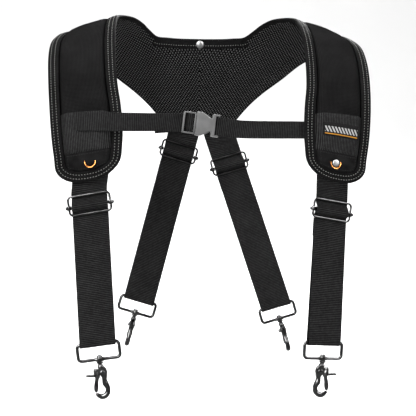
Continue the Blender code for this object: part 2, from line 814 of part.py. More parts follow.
def ring_with_boss_mesh():
    """The strap ring: a wire rectangle whose bottom wire carries the swivel boss.

    Its origin is the middle of the bottom wire.
    """
    path = [(x, y, z + RING_HEIGHT / 2) for x, y, z in
            rounded_rectangle(RING_WIDTH, RING_HEIGHT, RING_CORNER, 3)]
    wire = tube_mesh(path, RING_WIRE, 7, closed=True)
    boss = lathe_mesh([(0, -BOSS_HALF), (BOSS_RADIUS - 0.8, -BOSS_HALF),
                       (BOSS_RADIUS, -BOSS_HALF + 0.8), (BOSS_RADIUS, BOSS_HALF - 0.8),
                       (BOSS_RADIUS - 0.8, BOSS_HALF), (0, BOSS_HALF)], 12)
    bore = lathe_mesh([(0, -9), (POST_RADIUS + 0.45, -9), (POST_RADIUS + 0.45, 9), (0, 9)], 12)
    return baked("ring", wire, [("UNION", boss), ("DIFFERENCE", bore)])


# Hook and gate outlines, X across and Z up from the ring's bottom wire. The lever points to -X.
HOOK_OUTLINE = [
    (-3.0, -7.5), (-5.0, -10.5), (-4.4, -14.0), (-3.2, -18.6), (-2.2, -22.5), (0.3, -28.0),
    (0.9, -34.0), (3.7, -38.6), (4.6, -42.6), (4.3, -46.3), (2.6, -47.7), (-1.6, -47.7),
    (-4.2, -47.1), (-9.9, -45.4), (-11.2, -45.8), (-9.7, -49.4), (-5.9, -53.5), (0.0, -55.8),
    (5.7, -53.5), (9.5, -48.8), (11.7, -41.4), (10.4, -34.0), (8.9, -28.4), (9.0, -23.7),
    (9.4, -18.6), (8.2, -13.5), (5.4, -9.8), (3.0, -7.5),
]
GATE_PLATE = [
    (-4.0, -14.5), (0.2, -15.6), (2.6, -15.2), (5.0, -16.3), (5.9, -18.6), (5.0, -21.0),
    (2.9, -22.6), (0.0, -28.0), (-0.2, -34.0), (-4.2, -38.0), (-7.0, -36.0), (-7.0, -18.0),
]
GATE_ARM = [
    (-5.2, -13.5), (-7.6, -15.0), (-8.9, -18.6), (-9.4, -21.0), (-10.2, -22.2), (-9.8, -23.8),
    (-7.9, -26.2), (-7.9, -28.4), (-9.5, -34.0), (-11.4, -41.0), (-10.6, -44.1), (-5.3, -46.2),
    (-3.9, -43.0), (-3.2, -38.6), (-4.3, -34.0), (-4.1, -28.0), (-4.9, -24.0), (-3.8, -18.6),
    (-4.2, -15.4),
]
HOOK_HALF_DEPTH = 4.2
SLOT_HALF = 2.6
PIN_RADIUS = 1.3


def hook_mesh():
    """A swivel snap hook: peened post, collar, forked head, and the bow up to the gate."""
    shank = lathe_mesh([(0, BOSS_HALF + 2.6), (2.4, BOSS_HALF + 2.4), (3.9, BOSS_HALF + 1.2),
                        (3.9, BOSS_HALF + GAP), (POST_RADIUS, BOSS_HALF + GAP),
                        (POST_RADIUS, -BOSS_HALF - GAP), (4.9, -BOSS_HALF - GAP),
                        (4.9, -BOSS_HALF - 1.6), (2.9, -BOSS_HALF - 2.4), (2.9, -12.5),
                        (0, -12.5)], 12)
    bow = plate_mesh(HOOK_OUTLINE, -HOOK_HALF_DEPTH, HOOK_HALF_DEPTH, bevel=1.2)
    slot = box_mesh((-8, -SLOT_HALF, -36.5), (6.3, SLOT_HALF, -13.2))
    hole = tube_mesh([(PIVOT[0], -9, PIVOT[1]), (PIVOT[0], 9, PIVOT[1])], PIN_RADIUS + GAP, 10)
    return baked("hook", bow, [("UNION", shank), ("DIFFERENCE", slot), ("DIFFERENCE", hole)])


def gate_mesh():
    """The gate: a thin knuckle in the fork, the arm that closes the bow, and a thumb lever."""
    arm = plate_mesh(GATE_ARM, -3.9, 3.9, bevel=1.0)
    plate = plate_mesh(GATE_PLATE, -SLOT_HALF + GAP, -0.2)
    lever = plate_mesh([(-8.6, -21.0), (-20.0, -20.4), (-20.8, -21.6), (-20.0, -22.8),
                        (-8.6, -23.6)], -6.0, 6.0, bevel=0.5)
    hole = tube_mesh([(PIVOT[0], -9, PIVOT[1]), (PIVOT[0], 9, PIVOT[1])], PIN_RADIUS + GAP, 10)
    return baked("gate", arm, [("UNION", plate), ("UNION", lever), ("DIFFERENCE", hole)])


def pin_mesh():
    """The gate's rivet, along Y, with a head outside each cheek."""
    out = HOOK_HALF_DEPTH + GAP
    mesh = lathe_mesh([(0, -out - 0.8), (1.6, -out - 0.8), (2.2, -out - 0.3), (2.2, -out),
                       (PIN_RADIUS, -out), (PIN_RADIUS, out), (2.2, out), (2.2, out + 0.3),
                       (1.6, out + 0.8), (0, out + 0.8)], 8)
    mesh.transform(Matrix.Translation((PIVOT[0] * MM, 0, PIVOT[1] * MM))
                   @ Matrix.Rotation(math.radians(90), 4, "X"))
    return mesh


def spring_mesh():
    """The coil round the pin that keeps the gate shut."""
    turns, per_turn, radius, low, pitch = 2.0, 8, 2.2, 0.5, 0.75
    path = []
    for k in range(int(turns * per_turn) + 1):
        turn = 2 * math.pi * k / per_turn
        path.append((PIVOT[0] + radius * math.cos(turn), low + pitch * k / per_turn,
                     PIVOT[1] + radius * math.sin(turn)))
    return tube_mesh(path, 0.3, 4)


def mirrored(mesh):
    """The same shape with its lever on the +X side."""
    copy = mesh.copy()
    copy.transform(Matrix.Diagonal((-1, 1, 1, 1)))
    copy.flip_normals()
    return copy


# ---------------------------------------------------------------- straps


def strap_axes(strap):
    """Across the strap when level, down the strap, and out towards the viewer in front."""
    yaw, lean = math.radians(strap["yaw"]), math.radians(strap["lean"])
    across = np.array((math.cos(yaw), math.sin(yaw), 0.0))
    front = np.array((math.sin(yaw), -math.cos(yaw), 0.0))
    down = math.sin(lean) * across - math.cos(lean) * np.array((0.0, 0.0, 1.0))
    return across, down, front


def leaned(across, degrees):
    turn = math.radians(degrees)
    return math.cos(turn) * across + math.sin(turn) * np.array((0.0, 0.0, 1.0))


def hardware_matrix(origin, across, degrees):
    """X along the metalwork, Z up in the strap's plane."""
    x = leaned(across, degrees)
    z = leaned(across, degrees + 90)
    return frame_matrix(origin, x, z)


def arc(centre, radius, start, end, steps):
    """Points (down, out) round a centre; 0 degrees points out and 90 degrees down."""
    points = []
    for k in range(steps + 1):
        turn = math.radians(start + (end - start) * k / steps)
        points.append((centre + radius * math.sin(turn), radius * math.cos(turn)))
    return points


TOP_WIRE = -BAR_BELOW_CENTRE - SLIDER_HEIGHT / 2
LOW_WIRE = -BAR_BELOW_CENTRE + SLIDER_HEIGHT / 2
BEHIND_WIRE = SLIDER_WIRE + GAP + WEBBING_THICK / 2 + 0.05
LAYER = WEBBING_THICK + 0.45  # from the middle of one layer to the middle of the next
ROUND_BAR = BAR_RADIUS + GAP + WEBBING_THICK / 2 + 0.1
OVER_BAR = ROUND_BAR + LAYER + 0.1
SPLIT_ABOVE_RING = 9.0


def crossing(distance, sum_of_radii):
    """Slope, in degrees, of webbing that passes behind one wire and in front of the next."""
    return math.degrees(math.asin(sum_of_radii / distance))


def front_layer(length):
    """From above the slider, behind its top wire, over the bar, behind the low wire, down."""
    upper = crossing(-TOP_WIRE, OVER_BAR + BEHIND_WIRE)
    lower = crossing(LOW_WIRE, OVER_BAR + BEHIND_WIRE)
    path = arc(TOP_WIRE, BEHIND_WIRE, 180, 180 - upper, 3)
    path += arc(0.0, OVER_BAR, -upper, lower, 5)
    path += arc(LOW_WIRE, BEHIND_WIRE, 180 + lower, 180, 3)
    end = length - SPLIT_ABOVE_RING - GAP
    for share in (0.33, 0.66, 1.0):
        down = LOW_WIRE + (end - LOW_WIRE) * share
        path.append((down, -BEHIND_WIRE + (FOLD_RADIUS + BEHIND_WIRE) * share))
    return path


def loop_layer(length):
    """Round the ring's top wire, up behind, round the bar from the front, and the sewn tail."""
    path = [(length - SPLIT_ABOVE_RING, FOLD_RADIUS)]
    path += arc(length, FOLD_RADIUS, 0, 180, 8)
    path.append((length - SPLIT_ABOVE_RING, -FOLD_RADIUS))
    behind = BEHIND_WIRE + LAYER
    slope = crossing(LOW_WIRE, ROUND_BAR + behind)
    tail = behind + LAYER + 0.3
    back_slope = math.degrees(math.asin((tail - ROUND_BAR) / LOW_WIRE))
    path.append((LOW_WIRE + TAIL_LENGTH + 2.0, -behind))
    path += arc(LOW_WIRE, behind, 180, 180 + slope, 3)
    path += arc(0.0, ROUND_BAR, slope, -180 - back_slope, 10)
    path += arc(LOW_WIRE, tail, 180 + back_slope, 180, 2)[:1]
    path.append((LOW_WIRE + 2.0, -tail))
    path.append((LOW_WIRE + TAIL_LENGTH, -tail))
    return path


def strap_section(strap, down_out, degrees):
    """A webbing section at (down, out) from the bar, its ends leaned by some degrees."""
    across, down, front = strap_axes(strap)
    middle = np.array(strap["bar"], float) + down * down_out[0] + front * down_out[1]
    skew = math.radians(degrees - strap["lean"])
    return middle, leaned(across, degrees) * WEBBING / 2 / math.cos(skew)


def strap_sections(strap, path):
    """Sections along a path. Their ends turn from the slider's lean to the ring's."""
    sections = []
    for down_out in path:
        share = (down_out[0] - LOW_WIRE) / (strap["length"] - SPLIT_ABOVE_RING - LOW_WIRE)
        share = min(max(share, 0.0), 1.0)
        degrees = strap["slider"] + (strap["ring"] - strap["slider"]) * share
        sections.append(strap_section(strap, down_out, degrees))
    return sections


def upper_sections(name, strap):
    """Webbing from its anchor down to the slider."""
    if name.startswith("front"):
        side = -1 if name.endswith("left") else 1
        frame = rivet_frame(side)
        origin = np.array(frame.translation) / MM - np.array(frame.col[2][:3]) * STRAP_BEHIND
        first, half = strap_section(strap, (TOP_WIRE - 6.0, -BEHIND_WIRE), strap["slider"])
        normal = np.array(frame.col[2][:3])
        down = first - origin
        down = down - normal * np.dot(down, normal)
        down = down / np.linalg.norm(down)
        across = np.cross(normal, down)
        across = across / np.linalg.norm(across) * np.sign(np.dot(across, half)) * WEBBING / 2
        top = [(origin - down * 15.0, across), (origin + down * 14.0, across)]
        middle = (top[1][0] + first) / 2
        return [*top, (middle, (across + half) / 2), (first, half)]
    _, down, _ = strap_axes(strap)
    edge = ARM_EDGE[-1]
    bar = np.array(strap["bar"], float)
    at_edge = (edge[2] - bar[2]) / -down[2]
    out = -BEHIND_WIRE
    upper = strap_section(strap, (-at_edge - 8.0, out + 1.4), 0.0)
    lower = strap_section(strap, (-at_edge, out), 0.0)
    return [upper, lower, strap_section(strap, (TOP_WIRE - 6.0, out), strap["slider"])]


def make_strap(name, strap, shapes, anchor, anchor_cut):
    across, down, _ = strap_axes(strap)
    bar = np.array(strap["bar"], float)
    sections = upper_sections(name, strap)
    sections += strap_sections(strap, front_layer(strap["length"]))
    webbing = add_object(name + "_webbing", ribbon_mesh(sections, WEBBING_THICK), "webbing",
                         parent=anchor)
    if anchor_cut:
        boolean(webbing, anchor_cut)

    slider_place = hardware_matrix(bar, across, strap["slider"])
    slide = add_axis(name + "_adjust", slider_place, anchor)
    add_object(name + "_slider_bar", shapes["bar"], "gunmetal", slider_place, slide)
    centre = Matrix.Translation((0, 0, BAR_BELOW_CENTRE * MM))
    add_object(name + "_slider_frame", shapes["frame"], "gunmetal", slider_place @ centre, slide)

    wire = bar + down * strap["length"]
    hinge_place = hardware_matrix(wire, across, strap["ring"])
    loop = ribbon_mesh(strap_sections(strap, loop_layer(strap["length"])), WEBBING_THICK)
    hinge = add_axis(name + "_ring_hinge", hinge_place, slide)
    add_object(name + "_webbing_loop", loop, "webbing", parent=hinge)
    ring_place = hinge_place @ Matrix.Translation((0, 0, -RING_HEIGHT * MM))
    add_object(name + "_ring", shapes["ring"], "gunmetal", ring_place, hinge)

    hand = "right" if strap["hand"] > 0 else "left"
    hook_place = hook_matrix(strap)
    swivel = add_axis(name + "_swivel", hook_place, hinge)
    add_object(name + "_hook", shapes["hook_" + hand], "gunmetal", hook_place, swivel)
    add_object(name + "_gate_pin", shapes["pin_" + hand], "gunmetal", hook_place, swivel)
    add_object(name + "_gate_spring", shapes["spring_" + hand], "nickel", hook_place, swivel)
    pivot = Matrix.Translation((PIVOT[0] * -strap["hand"] * MM, 0, PIVOT[1] * MM))
    gate_axis = add_axis(name + "_gate_hinge", hook_place @ pivot, swivel)
    add_object(name + "_gate", shapes["gate_" + hand], "gunmetal", hook_place, gate_axis)


def hook_matrix(strap):
    """The hook hangs from the middle of the ring's bottom wire, square to the viewer."""
    across, down, _ = strap_axes(strap)
    wire = np.array(strap["bar"], float) + down * strap["length"]
    middle = wire - leaned(across, strap["ring"] + 90) * RING_HEIGHT
    level = np.array((1.0, 0.0, 0.0))
    place = hardware_matrix(middle, level, strap["hook"])
    return place @ Matrix.Rotation(math.radians(strap["swivel"]), 4, "Z")


def make_straps(anchors):
    left = {"hook": hook_mesh(), "gate": gate_mesh(), "pin": pin_mesh(), "spring": spring_mesh()}
    shapes = {"bar": slider_bar_mesh(), "frame": slider_frame_mesh(),
              "ring": ring_with_boss_mesh()}
    for part, mesh in left.items():
        shapes[part + "_left"] = mesh
        shapes[part + "_right"] = mirrored(mesh)
    for name, strap in STRAPS.items():
        anchor, cut = anchors.get(name, (None, None))
        make_strap(name, strap, {key: mesh.copy() for key, mesh in shapes.items()}, anchor, cut)


# ---------------------------------------------------------------- chest strap and buckle


def buckle_matrix():
    return hardware_matrix(BUCKLE, np.array((1.0, 0.0, 0.0)), BUCKLE_LEAN)


PLUG_HALF = 14.9
SOCKET_HALF = 16.4


def make_plug():
    """The plug: a ladder frame for the strap, and a guide tongue between the prongs."""
    frame = box_mesh((-25.5, -2.2, -PLUG_HALF), (-7.3, 2.2, PLUG_HALF))
    tongue = box_mesh((-8.0, -1.8, -2.4), (8.0, 1.8, 2.4))
    changes = [("UNION", tongue)]
    for low, high in ((-21.6, -16.0), (-13.4, -9.6)):
        changes.append(("DIFFERENCE", box_mesh((low, -5, -13.1), (high, 5, 13.1))))
    plug = add_object("buckle_plug", baked("plug", frame, changes), "grey_plastic",
                      buckle_matrix())
    return plug


PRONG_OUTLINE = [
    (-6.9, 7.2), (-6.9, 9.4), (-1.0, 9.8), (0.9, 10.4), (0.9, 14.4), (4.0, 14.6), (8.5, 12.8),
    (12.4, 10.0), (13.2, 8.6), (10.5, 7.6), (3.0, 7.9), (-1.0, 7.3),
]


def make_prongs():
    """The two springy arms whose buttons are squeezed to open the buckle."""
    root = buckle_matrix() @ Matrix.Translation((PRONG_ROOT[0] * MM, 0, 0))
    for side, name in ((1, "prong_upper"), (-1, "prong_lower")):
        outline = [(x, side * z) for x, z in PRONG_OUTLINE]
        place = root @ Matrix.Translation((0, 0, side * PRONG_ROOT[1] * MM))
        axis = add_axis(name + "_flex", place)
        add_object(name, plate_mesh(outline, -2.6, 2.6, bevel=0.6), "grey_plastic",
                   buckle_matrix(), axis)


SOCKET_OUTLINE = [
    (-7.0, -SOCKET_HALF), (0.4, -SOCKET_HALF), (3.5, -15.0), (7.0, -12.6), (10.0, -10.0),
    (14.6, -9.0), (15.4, -15.5), (25.5, -15.5),
]


def make_socket():
    """The socket: a shell open at its sides, with a bar for the right strap at its far end."""
    outline = SOCKET_OUTLINE + [(x, -z) for x, z in reversed(SOCKET_OUTLINE)]
    shell = plate_mesh(outline, -4.8, 4.8, bevel=0.8)
    cuts = [
        ((-8, -3.2, -12.4), (0.4, 3.2, 12.4)),
        ((0.3, -3.2, -17), (14.4, 3.2, 17)),
        ((19.7, -6, -13.6), (22.3, 6, 13.6)),
        ((24.4, -6, -13.6), (27, 6, 13.6)),
        ((19.7, 1.1, -13.6), (27, 6, 13.6)),
        ((19.7, -6, -13.6), (27, -1.1, 13.6)),
    ]
    changes = [("DIFFERENCE", box_mesh(low, high)) for low, high in cuts]
    slide = add_axis("buckle_release", buckle_matrix())
    add_object("buckle_socket", baked("socket", shell, changes), "grey_plastic",
               buckle_matrix(), slide)


def buckle_section(x, y, z=0.0, half=CHEST_WEBBING / 2):
    """A chest webbing section in the buckle's own X, Y and Z."""
    place = buckle_matrix()
    middle = place @ Vector((x * MM, y * MM, z * MM))
    up = place.to_3x3() @ Vector((0, 0, 1))
    return np.array(middle) / MM, np.array(up) * half


def pad_section(side, from_neck, level, lift):
    """A chest webbing section lying on a pad at a height Z."""
    ends = []
    for z in (level - CHEST_WEBBING / 2, level + CHEST_WEBBING / 2):
        low, high = 0.0, 6.0
        for _ in range(30):
            middle = (low + high) / 2
            point, normal = yoke_point(side, middle, from_neck=from_neck)
            if point[2] < z:
                low = middle
            else:
                high = middle
        ends.append(point + normal * lift)
    return (ends[0] + ends[1]) / 2, (ends[1] - ends[0]) / 2


def make_chest_straps():
    """Left: sewn over its pad, laced through the plug's ladder. Right: sewn under its pad."""
    over = CROWN_TOP + 2 * GAP + PATCH_SKIN + CHEST_THICK / 2 + 0.4
    rising = [pad_section(-1, d, CHEST_STRAP_Z, over - drop)
              for d, drop in ((CHEST_STRAP_START, 0.0), (34.0, 0.9), (18.0, 2.3))]
    lacing = [(-40.0, 3.3, -2.6), (-27.0, 3.3, -0.8), (-21.0, 3.3), (-17.6, -2.0), (-16.0, -3.2),
              (-13.4, -3.2), (-12.0, -2.2), (-11.6, 0.0), (-12.1, 2.6), (-13.6, 3.8),
              (-16.2, 4.6), (-21.6, 5.4), (-27.0, 5.4, -1.2), (-62.0, 5.6, -8.4)]
    sections = rising + [buckle_section(*place) for place in lacing]
    add_object("chest_strap_left", ribbon_mesh(sections, CHEST_THICK), "webbing")

    x, z = CHEST_STRAP_UNDER
    under = [pad_section(1, d, z + drop, -3.2) for d, drop in ((x - 126.5, 0.0), (5.0, 1.0))]
    around = 1.1 + GAP + CHEST_THICK / 2 + 0.35
    bar = 23.35
    lacing = [(60.0, -around + 0.6), (30.0, -around), (bar, -around)]
    for k in range(1, 6):
        turn = math.radians(180 * k / 6)
        lacing.append((bar - around * math.sin(turn) * 1.05, -around * math.cos(turn)))
    lacing += [(bar, around), (30.0, around), (CHEST_FOLD_END + 19.0, around - 0.3)]
    sections = under + [buckle_section(a, b) for a, b in lacing]
    add_object("chest_strap_right", ribbon_mesh(sections, CHEST_THICK), "webbing")


# ---------------------------------------------------------------- assembly


def main():
    clear_scene()
    make_materials()
    linings = make_linings()
    foam, shell, binding = make_foam(), make_shell(), make_binding()
    anchors = {}
    for side, name in ((-1, "left"), (1, "right")):
        _, patch = make_panels(side, name)
        lining = linings[0 if side < 0 else 1]
        axis, cut, _, _ = make_rivets(side, name, [lining, foam, shell, patch])
        anchors["front_" + name] = (axis, cut)
    make_snap([*linings, foam, shell, binding])
    make_label()
    make_back_patch()
    make_straps(anchors)
    make_plug()
    make_prongs()
    make_socket()
    make_chest_straps()


main()
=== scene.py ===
"""Looks for the padded tool-belt suspenders: fabric, webbing, stitching, cast hooks and buckle."""

import math

import bmesh
import bpy
import numpy as np
from mathutils import Matrix, Vector


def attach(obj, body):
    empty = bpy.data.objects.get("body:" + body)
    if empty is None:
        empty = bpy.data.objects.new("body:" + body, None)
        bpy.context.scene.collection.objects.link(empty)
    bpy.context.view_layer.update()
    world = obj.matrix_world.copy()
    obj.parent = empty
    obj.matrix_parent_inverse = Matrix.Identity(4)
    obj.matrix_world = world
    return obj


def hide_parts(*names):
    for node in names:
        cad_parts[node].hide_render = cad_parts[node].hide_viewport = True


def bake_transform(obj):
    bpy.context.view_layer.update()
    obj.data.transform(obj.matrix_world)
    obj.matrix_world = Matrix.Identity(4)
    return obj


MM = 0.001

# The yoke's stations: the neck edge, the arm edge and the tip's shape, in millimetres.
NECK_EDGE = [
    (132.5, -126, -227), (129.5, -126, -194), (128, -125, -164), (130.5, -117, -130),
    (135.5, -104, -94), (137.5, -80, -50), (137, -52, -16), (133.5, -20, 7), (128.5, 4, 14.5),
    (117, 20, 17), (104, 37, 17), (92, 54, 12.5), (82, 71, 6.5), (69, 87, -1),
    (53, 93.5, -1.5), (38, 97, -2), (25, 99, -2), (12, 100, -2), (0, 100, -2),
]
ARM_EDGE = [
    (219, -119.5, -242), (220.5, -114, -210), (224.5, -109, -176), (227.5, -99, -134),
    (230, -84, -91), (231, -63, -60), (229, -38, -36), (222.5, -12, -22), (216, 10, -16),
    (206, 42, -19), (186, 72, -29), (160, 93, -42), (132, 103.5, -64), (104.5, 113.5, -84),
    (82, 119, -104), (62, 123.5, -127), (50, 125.5, -144), (25, 126, -147), (0, 126, -147.5),
]
STATION_STEP = 33.0  # distance between the first stations, along the pad
TIP_YAW = {-1: 3.0, 1: 8.0}  # degrees that a front tip turns round the chest, by side
TIP_YAW_FADE = (1.0, 0.7, 0.35)
TIP_CORNER = (40.0, 28.0)  # rounding of a tip's corners, across and along the pad
LAST = len(NECK_EDGE) - 1
RIVET_STATION, RIVET_FROM_NECK_EDGE = 0.75, 41.5

# The suspender straps, their sliders and their rings.
WEBBING, WEBBING_THICK = 50.0, 1.5
SLIDER_WIRE, SLIDER_WIDTH, SLIDER_HEIGHT, SLIDER_CORNER = 1.5, 58.0, 26.0, 4.5
BAR_RADIUS, BAR_BELOW_CENTRE = 1.6, 2.0
RING_WIRE, RING_WIDTH, RING_HEIGHT, RING_CORNER = 2.15, 58.2, 22.7, 5.0
FOLD_RADIUS, TAIL_LENGTH, SPLIT_ABOVE_RING = 4.15, 27.0, 9.0
STRAPS = {
    "front_left": {"bar": (-172.5, -120.2, -268), "yaw": -3, "lean": 3.2, "slider": 9.5,
                   "ring": 7.2, "hook": 4.3, "length": 191.5, "swivel": 0, "hand": -1},
    "front_right": {"bar": (170.5, -109, -277), "yaw": 14, "lean": -4.0, "slider": -9.1,
                    "ring": -3.8, "hook": -3.3, "length": 186.5, "swivel": 0, "hand": 1},
    "back_left": {"bar": (-32.6, 129.6, -182), "yaw": 0, "lean": -15.0, "slider": -16.5,
                  "ring": -17.0, "hook": -15.3, "length": 246.5, "swivel": 90, "hand": 1},
    "back_right": {"bar": (51.4, 129.6, -201.2), "yaw": 0, "lean": 18.3, "slider": 15.5,
                   "ring": 16.0, "hook": 16.0, "length": 243, "swivel": 90, "hand": 1},
}
BOSS_RADIUS, BOSS_HALF = 4.4, 3.4
PIVOT = (2.6, -18.6)

# The chest strap and its buckle.
CHEST_WEBBING, CHEST_THICK = 25.0, 1.3
BUCKLE, BUCKLE_LEAN = (-19.0, -132.0, -155.4), -7.0
CHEST_STRAP_Z = -155.5

# Stitches: the length of one and the gap to the next.
EDGE_STITCH, SEAM_STITCH = (2.0, 2.0), (2.6, 1.2)
EDGE_THREAD = 0.44
EDGE_ROWS, BACK_ROW = (3.4, 9.0), 9.4  # distance of the rows from the outline

# The panels and the tag on the pads.
PANEL_INSET = 14.6
TAG_WIDTH, TAG_HEIGHT = 56.0, 17.0


# ---------------------------------------------------------------- shader maths


class Field:
    """A number that varies over a surface, kept as a shader socket."""

    def __init__(self, tree, socket):
        self.tree = tree
        self.socket = socket

    def math(self, operation, *values):
        node = self.tree.nodes.new("ShaderNodeMath")
        node.operation = operation
        for slot, value in zip(node.inputs, (self, *values)):
            if isinstance(value, Field):
                self.tree.links.new(value.socket, slot)
            else:
                slot.default_value = value
        return Field(self.tree, node.outputs[0])

    def __add__(self, other):
        return self.math("ADD", other)

    def __sub__(self, other):
        return self.math("SUBTRACT", other)

    def __mul__(self, other):
        return self.math("MULTIPLY", other)

    def __truediv__(self, other):
        return self.math("DIVIDE", other)

    def wave(self, period):
        """0 at every whole period and 1 half way between."""
        return (self * (math.pi / period)).math("SINE").math("ABSOLUTE")

    def steps(self, period):
        return (self / period).math("FLOOR")

    def odd(self):
        """0 for an even whole number and 1 for an odd one."""
        return self.math("FLOORED_MODULO", 2.0)

    def between(self, low, high):
        """0 below low, 1 above high, smooth between."""
        node = self.tree.nodes.new("ShaderNodeMapRange")
        node.interpolation_type = "SMOOTHSTEP"
        self.tree.links.new(self.socket, node.inputs["Value"])
        node.inputs["From Min"].default_value = low
        node.inputs["From Max"].default_value = high
        return Field(self.tree, node.outputs["Result"])

    def toward(self, other, share):
        """This value, moved towards another by a share that is itself a field."""
        return self + (other - self) * share


def uv_fields(tree):
    """The surface's own millimetres: across and along."""
    node = tree.nodes.new("ShaderNodeUVMap")
    node.uv_map = "mm"
    split = tree.nodes.new("ShaderNodeSeparateXYZ")
    tree.links.new(node.outputs[0], split.inputs[0])
    return Field(tree, split.outputs[0]), Field(tree, split.outputs[1])


def stored_field(tree, name):
    """A value kept with the mesh's own points."""
    node = tree.nodes.new("ShaderNodeAttribute")
    node.attribute_name = name
    return Field(tree, node.outputs["Fac"])


def noise_field(tree, per_metre, detail=2.0):
    """Smooth noise from 0 to 1, fixed in the object's own space."""
    place = tree.nodes.new("ShaderNodeTexCoord")
    node = tree.nodes.new("ShaderNodeTexNoise")
    node.inputs["Scale"].default_value = per_metre
    node.inputs["Detail"].default_value = detail
    tree.links.new(place.outputs["Object"], node.inputs["Vector"])
    return Field(tree, node.outputs[0])


def new_material(name, roughness, metallic=0.0, **sockets):
    material = bpy.data.materials.new(name)
    material.use_nodes = True
    tree = material.node_tree
    shader = tree.nodes["Principled BSDF"]
    shader.inputs["Roughness"].default_value = roughness
    shader.inputs["Metallic"].default_value = metallic
    for socket, value in sockets.items():
        shader.inputs[socket.replace("_", " ")].default_value = value
    return material, tree, shader


def colour_ramp(tree, shader, share, dark, light):
    """Base colour between two colours, by a field from 0 to 1."""
    mix = tree.nodes.new("ShaderNodeMix")
    mix.data_type = "RGBA"
    tree.links.new(share.socket, mix.inputs["Factor"])
    mix.inputs[6].default_value = (*dark, 1.0)
    mix.inputs[7].default_value = (*light, 1.0)
    tree.links.new(mix.outputs[2], shader.inputs["Base Color"])
    return mix


def bump(tree, shader, height, millimetres, strength=1.0):
    node = tree.nodes.new("ShaderNodeBump")
    node.inputs["Distance"].default_value = millimetres * MM
    node.inputs["Strength"].default_value = strength
    tree.links.new(height.socket, node.inputs["Height"])
    tree.links.new(node.outputs[0], shader.inputs["Normal"])


def grey(value):
    return (value, value, value)


# ---------------------------------------------------------------- materials


def plain_weave(u, v, thread):
    """Over-and-under threads: the height of whichever one is on top."""
    odd = (u.steps(thread) + v.steps(thread)).odd()
    warp = u.wave(thread) * (v.wave(thread) * 0.45 + 0.55)
    weft = v.wave(thread) * (u.wave(thread) * 0.45 + 0.55)
    return warp.toward(weft, odd)


def nylon_material(name, thread, dark, light):
    """Woven nylon: round threads lighter on top, cloudy wear and painted shade in the stitched
    groove.
    """
    material, tree, shader = new_material(name, 0.62, Specular_IOR_Level=0.0)
    u, v = uv_fields(tree)
    weave = plain_weave(u, v, thread)
    cloud = noise_field(tree, 28.0, 3.0).between(0.3, 0.75)
    slub = noise_field(tree, 420.0, 1.0)
    height = weave + slub * 0.5
    # Painted shade: the colour falls to 15 % within 15 mm of the rim, in the stitched groove beside
    # the binding, and is full again by 18.6 mm.
    painted_groove_shade = stored_field(tree, "from_rim").between(15.0, 18.6) * 0.85 + 0.15
    colour_ramp(tree, shader, (weave * (cloud * 0.3 + 0.6) + slub * 0.15) * painted_groove_shade,
                dark, light)
    bump(tree, shader, height, 0.4)
    return material


def ribbed_material(name, rib, dark, light, along=True):
    """Webbing: cords across the tape, each crossed by finer threads."""
    material, tree, shader = new_material(name, 0.5, Specular_IOR_Level=0.003)
    u, v = uv_fields(tree)
    if not along:
        u, v = v, u
    cord = v.wave(rib).between(0.12, 0.85)
    offset = v.steps(rib).odd() * 0.55
    thread = (u + offset).wave(1.1)
    cloud = noise_field(tree, 35.0, 3.0).between(0.3, 0.75)
    patchy = noise_field(tree, 260.0, 2.0).between(0.3, 0.7)
    weave = cord * (thread * 0.35 + 0.65)
    colour_ramp(tree, shader, weave * (cloud * 0.2 + patchy * 0.3 + 0.5), dark, light)
    bump(tree, shader, weave, 0.36)
    return material


def air_mesh_material():
    """Spacer mesh: staggered slanted yarns round dark holes, mirrored at X = 0, with painted
    highlight dashes.
    """
    material, tree, shader = new_material("air_mesh", 0.8, Specular_IOR_Level=0.0)
    u, v = uv_fields(tree)
    stagger = v.steps(2.65).odd() * 2.3
    slanted = u - v * 0.3 + stagger
    strand_and_highlight = slanted.wave(4.6).between(0.66, 0.97)
    row = v.wave(2.65).between(0.35, 0.85)
    net = (u * 0.5 + v + 1.3).wave(5.3).between(0.5, 0.9)
    knit = u.wave(0.9) * v.wave(0.9)
    # Painted highlight and shade: the bright slanted dashes paint light on one side of each yarn,
    # and the black holes are partly real openings, partly painted shade.
    light = (strand_and_highlight * row + net * 0.10) * (knit * 0.3 + 0.7)
    colour_ramp(tree, shader, light, grey(0.0001), grey(0.088))
    bump(tree, shader, strand_and_highlight * row * 1.2 + net * 0.6 + knit * 0.08, 0.9)
    return material


def foam_cloth_material():
    """Smooth coated cloth of the patches: fine grain with a faint gloss."""
    material, tree, shader = new_material("patch_cloth", 0.6, Specular_IOR_Level=0.003)
    u, v = uv_fields(tree)
    weave = plain_weave(u, v, 0.7)
    cloud = noise_field(tree, 60.0, 4.0).between(0.25, 0.8)
    colour_ramp(tree, shader, cloud * 0.6 + weave * 0.4, grey(0.002), grey(0.013))
    bump(tree, shader, weave + noise_field(tree, 300.0) * 1.5, 0.12)
    return material


def thread_material(name, colour):
    """Sewing thread, twisted."""
    material, tree, shader = new_material(name, 0.6, Specular_IOR_Level=0.05)
    u, v = uv_fields(tree)
    twist = (u + v * 1.4).wave(0.55)
    colour_ramp(tree, shader, twist, tuple(c * 0.55 for c in colour), colour)
    bump(tree, shader, twist, 0.12)
    return material


def label_material():
    """A plain woven tag: separate slanted light bars over a thin amber line, no lettering."""
    material, tree, shader = new_material("woven_tag", 0.7, Specular_IOR_Level=0.02)
    u, v = uv_fields(tree)
    weave = plain_weave(u, v, 0.5)
    across = u.math("ABSOLUTE").between(25.2, 24.8)
    inside = across * v.math("ABSOLUTE").between(3.9, 3.5)
    hatch = (u + v * 0.6).wave(5.0).between(0.60, 0.76)
    edge = across * (v + 6.0).math("ABSOLUTE").between(0.75, 0.5)
    mix = colour_ramp(tree, shader, inside * hatch, grey(0.002), grey(0.30))
    amber = colour_ramp(tree, shader, edge, grey(0.0), (0.36, 0.155, 0.015))
    tree.links.new(mix.outputs[2], amber.inputs[6])
    bump(tree, shader, weave, 0.12)
    return material


